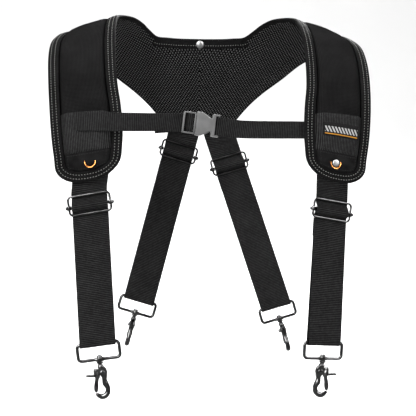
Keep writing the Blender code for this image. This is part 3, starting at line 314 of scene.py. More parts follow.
def metal_material(name, dark, light, roughness, grain=0.05):
    """Plated metal: slightly uneven gloss, faint casting waves and small wear marks."""
    material, tree, shader = new_material(name, roughness, metallic=1.0)
    cloud = noise_field(tree, 90.0, 3.0).between(0.3, 0.7)
    fine = noise_field(tree, 1400.0, 2.0)
    colour_ramp(tree, shader, cloud, dark, light)
    gloss = cloud * 0.10 + fine * 0.08 + (roughness - 0.08)
    tree.links.new(gloss.socket, shader.inputs["Roughness"])
    bump(tree, shader, fine + cloud * 2.0, grain)
    return material


def plastic_material():
    """Moulded acetal with a fine spark-eroded grain."""
    material, tree, shader = new_material("buckle_plastic", 0.5, Specular_IOR_Level=0.12)
    cloud = noise_field(tree, 70.0, 2.0).between(0.3, 0.7)
    fine = noise_field(tree, 2600.0, 2.0)
    colour_ramp(tree, shader, cloud, grey(0.072), grey(0.092))
    gloss = fine * 0.16 + 0.34
    tree.links.new(gloss.socket, shader.inputs["Roughness"])
    bump(tree, shader, fine, 0.05)
    return material


def make_materials():
    return {
        "pad": nylon_material("pad_nylon", 1.9, grey(0.0002), grey(0.0150)),
        "binding": ribbed_material("binding_tape", 1.2, grey(0.0004), grey(0.013)),
        "webbing": ribbed_material("strap_webbing", 2.5, grey(0.0002), grey(0.026)),
        "panel": ribbed_material("panel_webbing", 2.4, grey(0.0002), grey(0.034), along=False),
        "mesh": air_mesh_material(),
        "patch": foam_cloth_material(),
        "thread_light": thread_material("thread_light", (0.20, 0.198, 0.19)),
        "thread_dark": thread_material("thread_dark", (0.010, 0.010, 0.010)),
        "tag": label_material(),
        "gunmetal": metal_material("black_nickel", grey(0.009), grey(0.022), 0.16, 0.01),
        "copper": metal_material("copper_eyelet", (0.20, 0.075, 0.018), (0.32, 0.135, 0.040), 0.32),
        "nickel": metal_material("satin_nickel", grey(0.055), grey(0.08), 0.48),
        "dark_steel": metal_material("dark_rivet", grey(0.004), grey(0.010), 0.5),
        "plastic": plastic_material(),
    }


# ---------------------------------------------------------------- mesh helpers


def add_piece(name, points, faces, material, uvs=None, smooth=50.0):
    """An object from millimetre points. uvs, one per point, are millimetres too."""
    mesh = bpy.data.meshes.new(name)
    mesh.from_pydata([Vector(p) * MM for p in points], [], faces)
    layer = mesh.uv_layers.new(name="mm")
    if uvs is not None:
        flat = np.array(uvs, np.float32)
        index = np.zeros(len(mesh.loops), np.int32)
        mesh.loops.foreach_get("vertex_index", index)
        layer.data.foreach_set("uv", flat[index].ravel())
    mesh.materials.append(material)
    bm = bmesh.new()
    bm.from_mesh(mesh)
    bmesh.ops.recalc_face_normals(bm, faces=bm.faces)
    bm.to_mesh(mesh)
    bm.free()
    mesh.shade_smooth()
    mesh.set_sharp_from_angle(angle=math.radians(smooth))
    obj = bpy.data.objects.new(name, mesh)
    bpy.context.scene.collection.objects.link(obj)
    return obj


def grid_faces(rows, columns, wrap_rows=False, wrap_columns=False, start=0):
    faces = []
    for i in range(rows if wrap_rows else rows - 1):
        for j in range(columns if wrap_columns else columns - 1):
            ahead, side = (i + 1) % rows, (j + 1) % columns
            faces.append((start + i * columns + j, start + ahead * columns + j,
                          start + ahead * columns + side, start + i * columns + side))
    return faces


def settle(obj, slot, body, *nodes):
    """A piece's material slot, which is not used, the body it rides on and the solids it stands
    for.
    """
    if nodes:
        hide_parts(*nodes)
    if body:
        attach(obj, body)
    return obj


def capped_faces(rows, columns):
    """The faces of a closed tube of rings, its first and last ring filled."""
    return grid_faces(rows, columns, wrap_columns=True) + [
        tuple(range(columns)), tuple(range((rows - 1) * columns, rows * columns))]


class Builder:
    """Collects several shells into one object."""

    def __init__(self):
        self.points, self.faces, self.uvs = [], [], []

    def add(self, points, faces, uvs=None, matrix=None):
        start = len(self.points)
        if matrix is not None:
            points = [matrix @ Vector(p) for p in points]
        self.points += [tuple(p) for p in points]
        self.faces += [tuple(k + start for k in face) for face in faces]
        self.uvs += list(uvs) if uvs is not None else [(p[0], p[2]) for p in points]

    def shell(self):
        return self.points, self.faces, self.uvs

    def piece(self, name, material, smooth=50.0):
        return add_piece(name, self.points, self.faces, material, self.uvs, smooth)


def one_piece(name, shell, material, slot, body, *nodes, matrix=None, smooth=50.0):
    """An object of a single shell, settled on its body."""
    builder = Builder()
    builder.add(*shell, matrix=matrix)
    return settle(builder.piece(name, material, smooth), slot, body, *nodes)


def lathe(profile, segments):
    """Turn (radius, height) points about Z; the ends may lie on the axis."""
    points, uvs = [], []
    run = 0.0
    before = profile[0]
    for radius, height in profile:
        run += math.dist((radius, height), before)
        before = (radius, height)
        for k in range(segments):
            turn = 2 * math.pi * k / segments
            points.append((radius * math.cos(turn), radius * math.sin(turn), height))
            uvs.append((turn * max(radius, 0.5), run))
    return points, grid_faces(len(profile), segments, wrap_columns=True), uvs


def tube(path, radii, sides=14, closed=False, flat=1.0):
    """A wire along a path. radii may vary; flat scales the section along Y."""
    path = [np.array(p, float) for p in path]
    count = len(path)
    if not hasattr(radii, "__len__"):
        radii = [radii] * count
    side = None
    points, uvs = [], []
    run = 0.0
    for k, centre in enumerate(path):
        before = path[k - 1] if closed or k else path[0]
        after = path[(k + 1) % count] if closed or k + 1 < count else path[-1]
        tangent = (after - before) / np.linalg.norm(after - before)
        if side is None:
            side = np.cross(tangent, (0, 1, 0))
            if np.linalg.norm(side) < 0.1:
                side = np.cross(tangent, (1, 0, 0))
        side = side - tangent * np.dot(side, tangent)
        side = side / np.linalg.norm(side)
        other = np.cross(tangent, side)
        run += np.linalg.norm(centre - before) if k else 0.0
        for step in range(sides):
            turn = 2 * math.pi * step / sides
            offset = radii[k] * (math.cos(turn) * side + math.sin(turn) * other)
            points.append(centre + offset * (1, flat, 1))
            uvs.append((radii[k] * turn, run))
    if closed:
        return points, grid_faces(count, sides, wrap_rows=True, wrap_columns=True), uvs
    return points, capped_faces(count, sides), uvs


def rounded_rectangle(width, height, corner, steps=8):
    path = []
    for quarter, (across, up) in enumerate(((1, 1), (-1, 1), (-1, -1), (1, -1))):
        for step in range(steps + 1):
            turn = math.radians(90 * quarter + 90 * step / steps)
            path.append((across * (width / 2 - corner) + corner * math.cos(turn), 0,
                         up * (height / 2 - corner) + corner * math.sin(turn)))
    return path


def prism(outline, low, high, bevel=0.6, steps=3):
    """An outline in X and Z, thick along Y, its rims rounded by shrinking towards its middle."""
    outline = [np.array(p, float) for p in outline]
    count = len(outline)
    area = sum(a[0] * b[1] - b[0] * a[1] for a, b in zip(outline, outline[1:] + outline[:1]))
    sign = 1.0 if area > 0 else -1.0

    def shrunk(amount):
        out = []
        for k, here in enumerate(outline):
            into = here - outline[k - 1]
            away = outline[(k + 1) % count] - here
            into, away = into / np.linalg.norm(into), away / np.linalg.norm(away)
            normals = [np.array((-d[1], d[0])) * sign for d in (into, away)]
            middle = normals[0] + normals[1]
            middle = middle / max(np.dot(middle, normals[0]), 0.5)
            out.append(here + middle * amount)
        return out

    points, levels = [], []
    for k in range(steps + 1):
        turn = math.pi / 2 * k / steps
        levels.append((bevel * (1 - math.sin(turn)), low + bevel * (1 - math.cos(turn))))
    levels += [(inset, high - (depth - low)) for inset, depth in reversed(levels)]
    for inset, depth in levels:
        points += [(x, depth, z) for x, z in shrunk(inset)]
    faces = capped_faces(len(levels), count)
    return points, faces, [(p[0], p[2]) for p in points]


def spline(before, a, b, after, t):
    """A share t of the way from a to b on a Catmull-Rom curve through all four."""
    return 0.5 * (2 * a + (b - before) * t + (2 * before - 5 * a + 4 * b - after) * t**2
                  + (3 * a - before - 3 * b + after) * t**3)


def smooth_path(points, per_span):
    """A Catmull-Rom curve through points of any dimension."""
    points = [np.array(p, float) for p in points]
    out = []
    for k in range(len(points) - 1):
        before = points[k - 1] if k else 2 * points[0] - points[1]
        a, b = points[k], points[k + 1]
        after = points[k + 2] if k + 2 < len(points) else 2 * b - a
        out += [spline(before, a, b, after, step / per_span) for step in range(per_span)]
    out.append(points[-1])
    return out


def frame_matrix(origin, x, z):
    """A placement in millimetres from an origin, an X axis and a rough Z axis."""
    x = Vector(x).normalized()
    y = Vector(z).cross(x).normalized()
    z = x.cross(y)
    return Matrix.Translation(Vector(origin)) @ Matrix((x, y, z)).transposed().to_4x4()


# ---------------------------------------------------------------- the yoke's surface


def station_points(side):
    neck, arm = [], []
    for k, (inner, outer) in enumerate(zip(NECK_EDGE, ARM_EDGE)):
        inner, outer = np.array(inner, float), np.array(outer, float)
        if k < len(TIP_YAW_FADE):
            turn = math.radians(TIP_YAW[side] * TIP_YAW_FADE[k])
            across = outer - inner
            outer = inner + (across[0] * math.cos(turn) - across[1] * math.sin(turn),
                             across[0] * math.sin(turn) + across[1] * math.cos(turn),
                             across[2])
        neck.append(inner * (side, 1, 1))
        arm.append(outer * (side, 1, 1))
    return neck, arm


STATIONS = {side: station_points(side) for side in (-1, 1)}


def along(points, u):
    """The edge's point at station u; past the last station it is its own mirror image."""
    k = min(max(int(math.floor(u)), 0), LAST - 1)
    before = points[k - 1] if k else 2 * points[0] - points[1]
    after = points[k + 2] if k + 2 <= LAST else points[LAST - 1] * (-1, 1, 1)
    return spline(before, points[k], points[k + 1], after, u - k)


def across_at(side, u, edge, distance):
    """A point at a distance from an edge, the share across, and the width there."""
    neck, arm = STATIONS[side]
    inner, outer = along(neck, u), along(arm, u)
    width = np.linalg.norm(outer - inner)
    share = {"neck": distance / width, "arm": 1 - distance / width, "share": distance}[edge]
    return inner + (outer - inner) * share, share, width


def pad_width(side, u):
    return across_at(side, u, "neck", 0.0)[2]


def yoke_frame(side, u, edge, distance):
    """Point on the wearer's face, outward normal, share across and width."""
    point, share, width = across_at(side, u, edge, distance)
    neck, arm = STATIONS[side]
    across = along(arm, u) - along(neck, u)
    step = 0.05
    ahead = across_at(side, min(u + step, LAST), edge, distance)[0]
    behind = across_at(side, max(u - step, 0.0), edge, distance)[0]
    lengthwise = ahead - behind
    if u > LAST - step:
        lengthwise = np.array((-side, 0.0, 0.0))
    normal = np.cross(lengthwise, across) * -side
    return point, normal / np.linalg.norm(normal), share, width


def tip_line(distance, inset):
    """How far along the pad its rounded tip begins, for a line inset from the outline."""
    wide, long = TIP_CORNER[0] - inset, max(TIP_CORNER[1] - inset, 1.0)
    reach = min(max(1 - (distance - inset) / wide, 0.0), 1.0)
    return inset + long * (1 - math.sqrt(1 - reach**2))


def rim_distance(u, from_side):
    """How far a point is from the pad's outline, near its tip."""
    run = u * STATION_STEP
    if run > 60:
        return from_side
    low, high = 0.0, min(from_side, TIP_CORNER[1] - 0.5)
    if run >= tip_line(from_side, high):
        return min(from_side, run)
    for _ in range(18):
        middle = (low + high) / 2
        if run >= tip_line(from_side, middle):
            low = middle
        else:
            high = middle
    return low


def ease(value, low, high):
    t = min(max((value - low) / (high - low), 0.0), 1.0)
    return t * t * (3 - 2 * t)


def lengths_along(side):
    """Running length of the pad's middle line at fine steps of the station."""
    table = [0.0]
    before = across_at(side, 0.0, "share", 0.5)[0]
    for k in range(1, LAST * 10 + 1):
        here = across_at(side, k / 10, "share", 0.5)[0]
        table.append(table[-1] + np.linalg.norm(here - before))
        before = here
    return table


RUN = {side: lengths_along(side) for side in (-1, 1)}


def run_at(side, u):
    """Millimetres along the pad, 0 in the middle of the back."""
    k = min(int(u * 10), LAST * 10 - 1)
    table = RUN[side]
    here = table[k] + (table[k + 1] - table[k]) * (u * 10 - k)
    return side * (table[-1] - here)


NEAR = [12.4, 13.6, 14.6, 15.4, 16.4, 17.8, 19.6, 22.0, 26.0, 33.0]
SHARES = [0.14, 0.28, 0.4, 0.5, 0.6, 0.72, 0.86]


def fine_columns():
    """Lines along the pad: near each edge by distance, and across the middle by share."""
    columns = [("neck", d) for d in NEAR]
    columns += [("middle", s) for s in SHARES]
    columns += [("arm", d) for d in reversed(NEAR)]
    return columns


def column_place(side, u, column):
    edge, value = column
    if edge != "middle":
        return yoke_frame(side, u, edge, value)
    inner = NEAR[-1] / pad_width(side, u)
    return yoke_frame(side, u, "share", inner + (1 - 2 * inner) * value)


TIP_STEPS = [0.0, 0.03, 0.06, 0.10, 0.15, 0.21, 0.28, 0.37, 0.48, 0.6, 0.72, 0.86]


def fine_half(side, height, inset=12.4, rows=84):
    """Points, UVs and rows of one half, from its tip to the middle of the back."""
    columns = fine_columns()
    lines = []
    starts = []
    for edge, value in columns:
        from_side = value if edge != "middle" else TIP_CORNER[0]
        starts.append(tip_line(from_side, inset) / STATION_STEP)
    steps = [(k, None) for k in TIP_STEPS]
    steps += [(None, 1.5 + (LAST - 1.5) * k / rows) for k in range(rows + 1)]
    for share, u_line in steps:
        line = []
        for column, start in zip(columns, starts):
            u = u_line if share is None else start + (1.5 - start) * share
            point, normal, part, width = column_place(side, u, column)
            from_side = min(part, 1 - part) * width
            rim = rim_distance(u, from_side)
            lift = height(side, u, part, rim)
            line.append((point + normal * lift, ((part - 0.5) * width, run_at(side, u)), rim))
        lines.append(line)
    return lines


def whole_surface(height):
    """Both halves as one strip of rows, left tip to right tip."""
    return fine_half(-1, height) + fine_half(1, height)[-2::-1]


def ripple(side, u, part):
    """Small hand-made unevenness of sewn padding, in millimetres."""
    run = u * STATION_STEP
    wave = math.sin(run / 21.0 + side) * math.sin(part * 7.0 + run / 47.0)
    small = math.sin(run / 9.3 + part * 11.0 + side * 2.0) * 0.35
    return wave * 0.5 + small * 0.4


def over_shoulder(u):
    """1 on top of the shoulder and 0 down the chest and the back."""
    return 1 - ease(abs(u - 8.5), 2.0, 5.0)


def shell_height(side, u, part, rim):
    """The cover: flat under the binding, a stitched groove, then a soft raised pad."""
    low_back = ease(u, 13.5, 16.5)
    crown = 12.4 + (8.6 - 12.4) * low_back - 5.0 * over_shoulder(u)
    rise = ease(rim, 14.8, 25.0) ** 0.6
    dome = ease(rim, 20.0, 44.0)
    flat_tip = 1 - ease(u, 1.0, 1.5)
    lift = 3.3 + (crown - 4.6) * rise + 1.3 * dome
    lift = lift * (1 - flat_tip) + flat_tip * (3.3 + 5.9 * rise)
    groove = math.exp(-((rim - 14.9) / 0.9) ** 2) * 0.9
    return lift - groove + ripple(side, u, part) * dome * (1 - flat_tip)


def lining_height(side, u, _part, rim):
    """The wearer's side: a thin quilted swell, drawn in along the middle seam of the back."""
    from_seam = abs(run_at(side, u))
    swell = ease(rim, 13.5, 30.0) * 2.0
    seam = math.exp(-(from_seam / 2.2) ** 2) * 0.8
    return -swell * ease(from_seam, 0.0, 14.0) + seam + 0.1


ROLL = (-120.0, 130.0)  # height and radius of the round that the shoulders are bent over


def unrolled(point):
    """Flat millimetres of the lining: out from the middle of the back, and up and over."""
    x, y, z = point
    height, radius = ROLL
    if z > height:
        turn = math.atan2(z - height, y)
        return abs(x), radius * turn
    return abs(x), (z - height) if y > 0 else radius * math.pi + height - z


def make_surface(name, height, material, flip, flat=None):
    lines = whole_surface(height)
    rows, columns = len(lines), len(lines[0])
    points, uvs, rims = zip(*(place for line in lines for place in line))
    uvs = [flat(p) for p in points] if flat else uvs
    obj = add_piece(name, points, grid_faces(rows, columns), material, uvs, 60.0)
    stored = obj.data.attributes.new("from_rim", "FLOAT", "POINT")
    stored.data.foreach_set("value", rims)
    centre = lines[rows // 2][columns // 2][0]
    face_outward(obj, centre, flip)
    return obj


def face_outward(obj, near, flip):
    """Point an open sheet's faces away from the wearer, or towards them."""
    mesh = obj.data
    face = min(mesh.polygons, key=lambda p: (p.center - Vector(near) * MM).length)
    if (face.normal.y > 0) == flip:
        mesh.flip_normals()


def rim_loop():
    """The outline as (side, what) steps, closed round both halves."""
    loop = []
    spans = [k / 5 for k in range(LAST * 5, 4, -1) if k / 5 > TIP_CORNER[1] / STATION_STEP + 0.05]
    quarter = [k / 7 for k in range(8)]
    for side in (-1, 1):
        half = [("neck", u, None) for u in spans]
        half += [("neck", None, q) for q in quarter]
        half += [("tip", None, k / 8) for k in range(1, 8)]
        half += [("arm", None, q) for q in reversed(quarter)]
        half += [("arm", u, None) for u in reversed(spans)]
        half = [(side, *step) for step in half]
        loop += half if side < 0 else half[::-1][1:-1]
    return loop


def rim_point(step, inset):
    """A point and normal of the outline, moved in by an inset. A negative inset is outside."""
    side, edge, u, turn = step
    if u is not None:
        point, normal, _, _ = yoke_frame(side, u, edge, inset)
        return point, normal
    wide, long = TIP_CORNER[0] - inset, TIP_CORNER[1] - inset
    if edge == "tip":
        u = inset / STATION_STEP
        width = pad_width(side, u)
        share = (TIP_CORNER[0] + (width - 2 * TIP_CORNER[0]) * turn) / width
        point, normal, _, _ = yoke_frame(side, u, "share", share)
        return point, normal
    angle = math.pi / 2 * turn
    distance = TIP_CORNER[0] - wide * math.cos(angle)
    u = (TIP_CORNER[1] - long * math.sin(angle)) / STATION_STEP
    point, normal, _, _ = yoke_frame(side, u, edge, distance)
    return point, normal


def ring_of_rim(loop, inset, lift):
    return [point + normal * lift for point, normal in (rim_point(s, inset) for s in loop)]


BINDING_SECTION = [
    (14.3, 3.4), (14.2, 4.3), (13.5, 4.75), (10.2, 4.85), (9.0, 4.5), (7.8, 4.9), (6.2, 5.1),
    (4.4, 4.85), (3.4, 4.5), (2.6, 4.75), (1.0, 4.5), (-0.4, 3.8), (-1.2, 2.6), (-1.35, 1.6),
    (-1.2, 0.6), (-0.4, -0.5), (1.0, -1.0), (3.0, -1.15), (4.0, -0.9), (5.0, -1.15),
    (8.4, -1.15), (9.4, -0.9), (10.4, -1.15), (13.2, -1.0), (14.1, -0.7), (14.3, 0.2),
]


def middle_of_neck(loop):
    """The steps of the rim along the middle of the back's upper edge."""
    part = [s for s in loop if s[1] == "neck" and s[2] and rim_point(s, 0.0)[0][0] ** 2 < 76 ** 2]
    return sorted(part, key=lambda s: rim_point(s, 0.0)[0][0])


def low_pads(loop, side):
    """The steps of the rim round one chest pad."""
    return [s for s in loop if s[0] == side and (s[2] is None or s[2] < 8)]


def make_mesh_edges(materials):
    """The wearer's mesh carried out over the binding, round the back of the yoke."""
    loop = rim_loop()
    arm = [s for s in loop if s[1] == "arm" and s[2] and s[2] >= 8.4]
    wide = [(0.4, -0.4), (1.4, -1.3), (4.0, -1.6), (9.0, -1.75), (15.0, -1.6), (18.5, -0.3)]
    narrow = [(5.0, -0.9), (5.6, -1.5), (8.0, -1.7), (11.0, -1.75), (15.0, -1.6), (18.5, -0.3)]
    strips = [(arm, wide)]
    for side in (-1, 1):
        neck = [s for s in loop if s[0] == side and s[1] == "neck" and s[2] and s[2] >= 8.4]
        neck = [s for s in neck if abs(rim_point(s, 0.0)[0][0]) > 70]
        strips.append((neck, narrow))
    builder = Builder()
    for steps, section in strips:
        points = [p for inset, lift in section for p in ring_of_rim(steps, inset, lift)]
        builder.add(points, grid_faces(len(section), len(steps)), [unrolled(p) for p in points])
    edge = builder.piece("mesh_edge", materials["mesh"], 60.0)
    settle(edge, "mesh_fabric", "yoke")


def make_binding(materials):
    """The tape folded round every edge, and the thread that holds it."""
    loop = rim_loop()
    rings = [ring_of_rim(loop, inset, lift) for inset, lift in BINDING_SECTION]
    run = [0.0]
    for a, b in zip(rings[6], rings[6][1:]):
        run.append(run[-1] + float(np.linalg.norm(b - a)))
    across = [0.0]
    for a, b in zip(BINDING_SECTION, BINDING_SECTION[1:]):
        across.append(across[-1] + math.dist(a, b))
    points = [p for ring in rings for p in ring]
    uvs = [(wide, long) for wide in across for long in run]
    faces = grid_faces(len(rings), len(loop), wrap_columns=True)
    binding = add_piece("edge_tape", points, faces, materials["binding"], uvs, 60.0)
    settle(binding, "binding", "yoke", "edge_binding")
    rows = Builder()
    for inset in EDGE_ROWS:
        line = ring_of_rim(loop, inset, 4.75)
        outward = [rim_point(s, inset)[1] for s in loop]
        add_stitches(rows, line, outward, *EDGE_STITCH, EDGE_THREAD, closed=True)
    for part in (middle_of_neck(loop), low_pads(loop, -1), low_pads(loop, 1)):
        line = ring_of_rim(part, BACK_ROW, -1.05)
        outward = [-rim_point(s, BACK_ROW)[1] for s in part]
        add_stitches(rows, line, outward, *EDGE_STITCH, EDGE_THREAD)
    settle(rows.piece("edge_stitching", materials["thread_light"]), "binding", "yoke")


def resample(points, normals, step, closed):
    """Places every so many millimetres along a line, with normal and direction."""
    points = [np.array(p, float) for p in points]
    if closed:
        points, normals = points + points[:1], list(normals) + [normals[0]]
    places = []
    carry = 0.0
    for k in range(len(points) - 1):
        span = points[k + 1] - points[k]
        length = np.linalg.norm(span)
        while carry < length:
            share = carry / max(length, 1e-9)
            normal = np.array(normals[k]) * (1 - share) + np.array(normals[k + 1]) * share
            places.append((points[k] + span * share, normal / np.linalg.norm(normal),
                           span / max(length, 1e-9)))
            carry += step
        carry -= length
    return places


STITCH = [(-1.0, 0.25, -0.6), (-0.82, 0.75, 0.35), (-0.35, 1.0, 1.0), (0.35, 1.0, 1.0),
          (0.82, 0.75, 0.35), (1.0, 0.25, -0.6)]


def add_stitches(builder, points, normals, length, gap, radius, closed=False):
    """Sunk-ended thread stitches along a line."""
    for centre, normal, direction in resample(points, normals, length + gap, closed):
        side = np.cross(direction, normal)
        side = side / np.linalg.norm(side)
        ring_points, uvs = [], []
        for run, size, up in STITCH:
            middle = centre + direction * run * length / 2 + normal * (up - 0.4) * radius
            for k in range(6):
                turn = 2 * math.pi * k / 6
                ring_points.append(middle + radius * size * (math.cos(turn) * side
                                                             + math.sin(turn) * normal * 0.8))
                uvs.append((k * radius, run * length / 2))
        builder.add(ring_points, capped_faces(len(STITCH), 6), uvs)


def grid_rim(rows, columns):
    """The places of a grid's outline, once round."""
    ids = list(range(columns)) + [i * columns + columns - 1 for i in range(1, rows)]
    ids += [(rows - 1) * columns + j for j in range(columns - 2, -1, -1)]
    return ids + [i * columns for i in range(rows - 2, 0, -1)]


def shell_place(side, u, share):
    """A place on the cover: the lining's point, the normal, the UV and the cover's height."""
    point, normal, part, width = yoke_frame(side, u, "share", share)
    rim = rim_distance(u, min(part, 1 - part) * width)
    uv = ((part - 0.5) * width, run_at(side, u))
    return point, normal, uv, shell_height(side, u, part, rim)


def make_patch(name, side, lines, lift, thick, material, slot, node):
    """A sewn-on sheet from rows of (u, share of width) places, its rim turned down."""
    rows, columns = len(lines), len(lines[0])
    top, under, uvs = [], [], []
    for i, line in enumerate(lines):
        for j, (u, share) in enumerate(line):
            point, normal, uv, level = shell_place(side, u, share)
            edge = i in (0, rows - 1) or j in (0, columns - 1)
            top.append(point + normal * (level + lift + (thick * 0.45 if edge else thick)))
            under.append(point + normal * (level + lift - 0.8))
            uvs.append(uv)
    faces, count = grid_faces(rows, columns), rows * columns
    rim_ids = grid_rim(rows, columns)
    uvs += [uvs[k] for k in rim_ids]
    for k, here in enumerate(rim_ids):
        after = (k + 1) % len(rim_ids)
        faces.append((here, rim_ids[after], count + after, count + k))
    points = top + [under[k] for k in rim_ids]
    return settle(add_piece(name, points, faces, material, uvs, 50.0), slot, "yoke", node)


def share_at(side, u, edge, distance):
    share = distance / pad_width(side, u)
    return share if edge == "neck" else 1 - share


def band_lines(side, low, high, inset, rows=26, columns=22):
    """Rows of a band across a pad, between two stations, inside the binding."""
    lines = []
    for i in range(rows + 1):
        u = low + (high - low) * i / rows
        first, last = share_at(side, u, "neck", inset), share_at(side, u, "arm", inset)
        lines.append([(u, first + (last - first) * j / columns) for j in range(columns + 1)])
    return lines


def tip_lines(side, high, inset, rows=18, columns=26):
    """Rows of the patch at a tip, its lower rim following the pad's outline."""
    width = pad_width(side, 0.8)
    lines = []
    for i in range(rows + 1):
        line = []
        for j in range(columns + 1):
            t = j / columns
            distance = inset + (width - 2 * inset) * t
            start = tip_line(min(distance, width - distance), inset) / STATION_STEP
            u = start + (high - start) * i / rows
            first, last = share_at(side, u, "neck", inset), share_at(side, u, "arm", inset)
            line.append((u, first + (last - first) * t))
        lines.append(line)
    return lines


def line_on_pad(side, places, lift):
    """Points and normals lying on the pad at (u, share) places."""
    points, normals = [], []
    for u, share in places:
        point, normal, _, level = shell_place(side, u, share)
        points.append(point + normal * (level + lift))
        normals.append(normal)
    return points, normals


def make_panels(side, name, materials):
    """Ribbed band and smooth tip patch of one pad, with their seams."""
    band = band_lines(side, 1.24, 2.75, PANEL_INSET)
    make_patch("ribbed_band_" + name, side, band, 0.5, 1.2, materials["panel"], "webbing",
               "web_panel_" + name)
    tip = tip_lines(side, 1.22, PANEL_INSET)
    make_patch("tip_patch_" + name, side, tip, 0.5, 1.3, materials["patch"], "patch",
               "end_patch_" + name)
    outline = [line[2] for line in reversed(tip)] + tip[2][3:-3] + [line[-3] for line in tip]
    seams = Builder()
    for places, level in ((band[2][1:-1], 1.55), (band[-3][1:-1], 1.7), (tip[-3][1:-1], 1.85),
                          (outline, 1.85)):
        points, normals = line_on_pad(side, places, level)
        add_stitches(seams, points, normals, *SEAM_STITCH, 0.3)
    settle(seams.piece("panel_seams_" + name, materials["thread_dark"]), "patch", "yoke")


def make_label(materials):
    """The tag lies across the right pad's band, a little lower at its outer end."""
    side, rows, columns = 1, 9, 25
    flat = [((j / (columns - 1) - 0.5) * TAG_WIDTH, (i / (rows - 1) - 0.5) * TAG_HEIGHT)
            for i in range(rows) for j in range(columns)]
    places = []
    for across, up in flat:
        u = 2.155 + up / 34.0
        places.append((u, 0.5 + (across + 1.0) / pad_width(side, u)))
    lines = [places[i * columns:(i + 1) * columns] for i in range(rows)]
    tag = make_patch("woven_tag", side, lines, 1.9, 0.9, materials["tag"], "label",
                     "label_patch")
    flat += [flat[k] for k in grid_rim(rows, columns)]
    layer = tag.data.uv_layers["mm"]
    for loop in tag.data.loops:
        layer.data[loop.index].uv = flat[loop.vertex_index]


def pad_frame(side, u, share, lift):
    point, normal, _, _ = yoke_frame(side, u, "share", share)
    return frame_matrix(point + normal * lift, np.cross((0, 0, 1), normal), normal)


EYELET_TILT = math.radians(-8)  # the soft pad lets each cup lean, its upper lip sunk


def make_eyelets(materials):
    """Copper cup eyelets with the strap rivets' heads inside, and washers behind."""
    for side, name in ((-1, "left"), (1, "right")):
        share = share_at(side, RIVET_STATION, "neck", RIVET_FROM_NECK_EDGE)
        place = pad_frame(side, RIVET_STATION, share, 0.0)
        level = 10.9
        cup = lathe([(7.8, level - 0.5), (7.85, level + 0.1), (7.65, level + 0.4),
                     (7.3, level + 0.35), (6.9, level - 0.1), (6.3, level - 1.0),
                     (5.8, level - 2.0), (5.45, level - 3.0), (5.2, level - 3.5),
                     (2.6, level - 3.6), (2.55, level - 4.1)], 64)
        sunk = place @ Matrix.Translation((0, 0, level)) @ Matrix.Rotation(EYELET_TILT, 4, "X")
        one_piece("cup_eyelet_" + name, cup, materials["copper"], "copper", "yoke",
                  "eyelet_" + name, matrix=sunk @ Matrix.Translation((0, 0, -level)))
        head = level - 2.9
        wide, proud = (5.0, -0.4) if side < 0 else (5.2, 3.0)
        rivet = lathe([(0.0, -5.9), (3.0, -5.85), (5.2, -5.6), (6.0, -5.0), (6.0, -4.1),
                       (2.2, -4.05), (2.2, head), (wide - 0.2, head), (wide, head + 0.5 + proud),
                       (wide - 0.25, head + 1.0 + proud), (wide - 1.0, head + 1.45 + proud),
                       (wide * 0.45, head + 1.7 + proud), (0.0, head + 1.75 + proud)], 40)
        look = "dark_steel" if side < 0 else "nickel"
        one_piece("strap_rivet_" + name, rivet, materials[look], "nickel", "yoke",
                  "pivot_rivet_" + name, matrix=place)


def make_snap(materials):
    """The press stud on the neck edge: a domed cap towards the wearer, a ring behind."""
    point, normal, _, _ = yoke_frame(1, LAST, "neck", 7.6)
    place = frame_matrix(point, (1, 0, 0), normal)
    cap = lathe([(0.0, -3.7), (2.0, -3.6), (3.8, -3.2), (5.2, -2.5), (6.0, -1.8), (6.3, -1.3),
                 (6.2, -1.05), (2.0, -1.0), (2.0, 4.9), (5.6, 5.0), (5.6, 5.6), (4.9, 6.2),
                 (3.8, 6.2), (3.2, 5.6), (2.6, 5.6), (2.2, 6.4), (0.0, 6.6)], 40)
    one_piece("press_stud", cap, materials["nickel"], "nickel", "yoke", "neck_snap",
              matrix=place)


BACK_PATCH = [(0, -147), (27, -146.5), (54, -143.5), (61, -135), (61, -124), (54, -118)]


def make_back_patch(materials):
    """The patch over the back straps' roots, with its stitching."""
    low, high = np.array(ARM_EDGE[-1], float), np.array(NECK_EDGE[-1], float)
    place = frame_matrix(low, (1, 0, 0), high - low)
    half = [(x, z + 147.5) for x, z in BACK_PATCH]
    outline = half + [(-x, z) for x, z in reversed(half) if x]
    one_piece("back_root_patch", prism(outline, 7.0, 8.4, bevel=0.5), materials["patch"],
              "patch", "yoke", "back_patch", matrix=place)
    middle = np.array((0, 14.0))
    inner = [middle + (np.array(p) - middle) * (0.93, 0.80) for p in outline]
    line = [place @ Vector((x, 8.45, z)) for x, z in inner]
    normals = [np.array(place.col[1][:3])] * len(line)
    seams = Builder()
    add_stitches(seams, line, normals, *SEAM_STITCH, 0.35, closed=True)
    settle(seams.piece("back_patch_stitching", materials["thread_light"]), "patch", "yoke")


def make_yoke(materials):
    cover = make_surface("pad_cover", shell_height, materials["pad"], flip=False)
    settle(cover, "shell_nylon", "yoke", "outer_shell", "foam_core")
    lining = make_surface("air_mesh_lining", lining_height, materials["mesh"], flip=True,
                          flat=unrolled)
    settle(lining, "mesh_fabric", "yoke", "mesh_lining_left", "mesh_lining_right")
    make_binding(materials)
    make_mesh_edges(materials)
    for side, name in ((-1, "left"), (1, "right")):
        make_panels(side, name, materials)
    make_label(materials)
    make_eyelets(materials)
    make_snap(materials)
    make_back_patch(materials)


# ---------------------------------------------------------------- webbing


RIBBON_SECTION = [(-1.0, 0.0), (-0.994, 0.55), (-0.975, 0.9), (-0.94, 1.0), (0.94, 1.0),
                  (0.975, 0.9), (0.994, 0.55), (1.0, 0.0), (0.994, -0.55), (0.975, -0.9),
                  (0.94, -1.0), (-0.94, -1.0), (-0.975, -0.9), (-0.994, -0.55)]


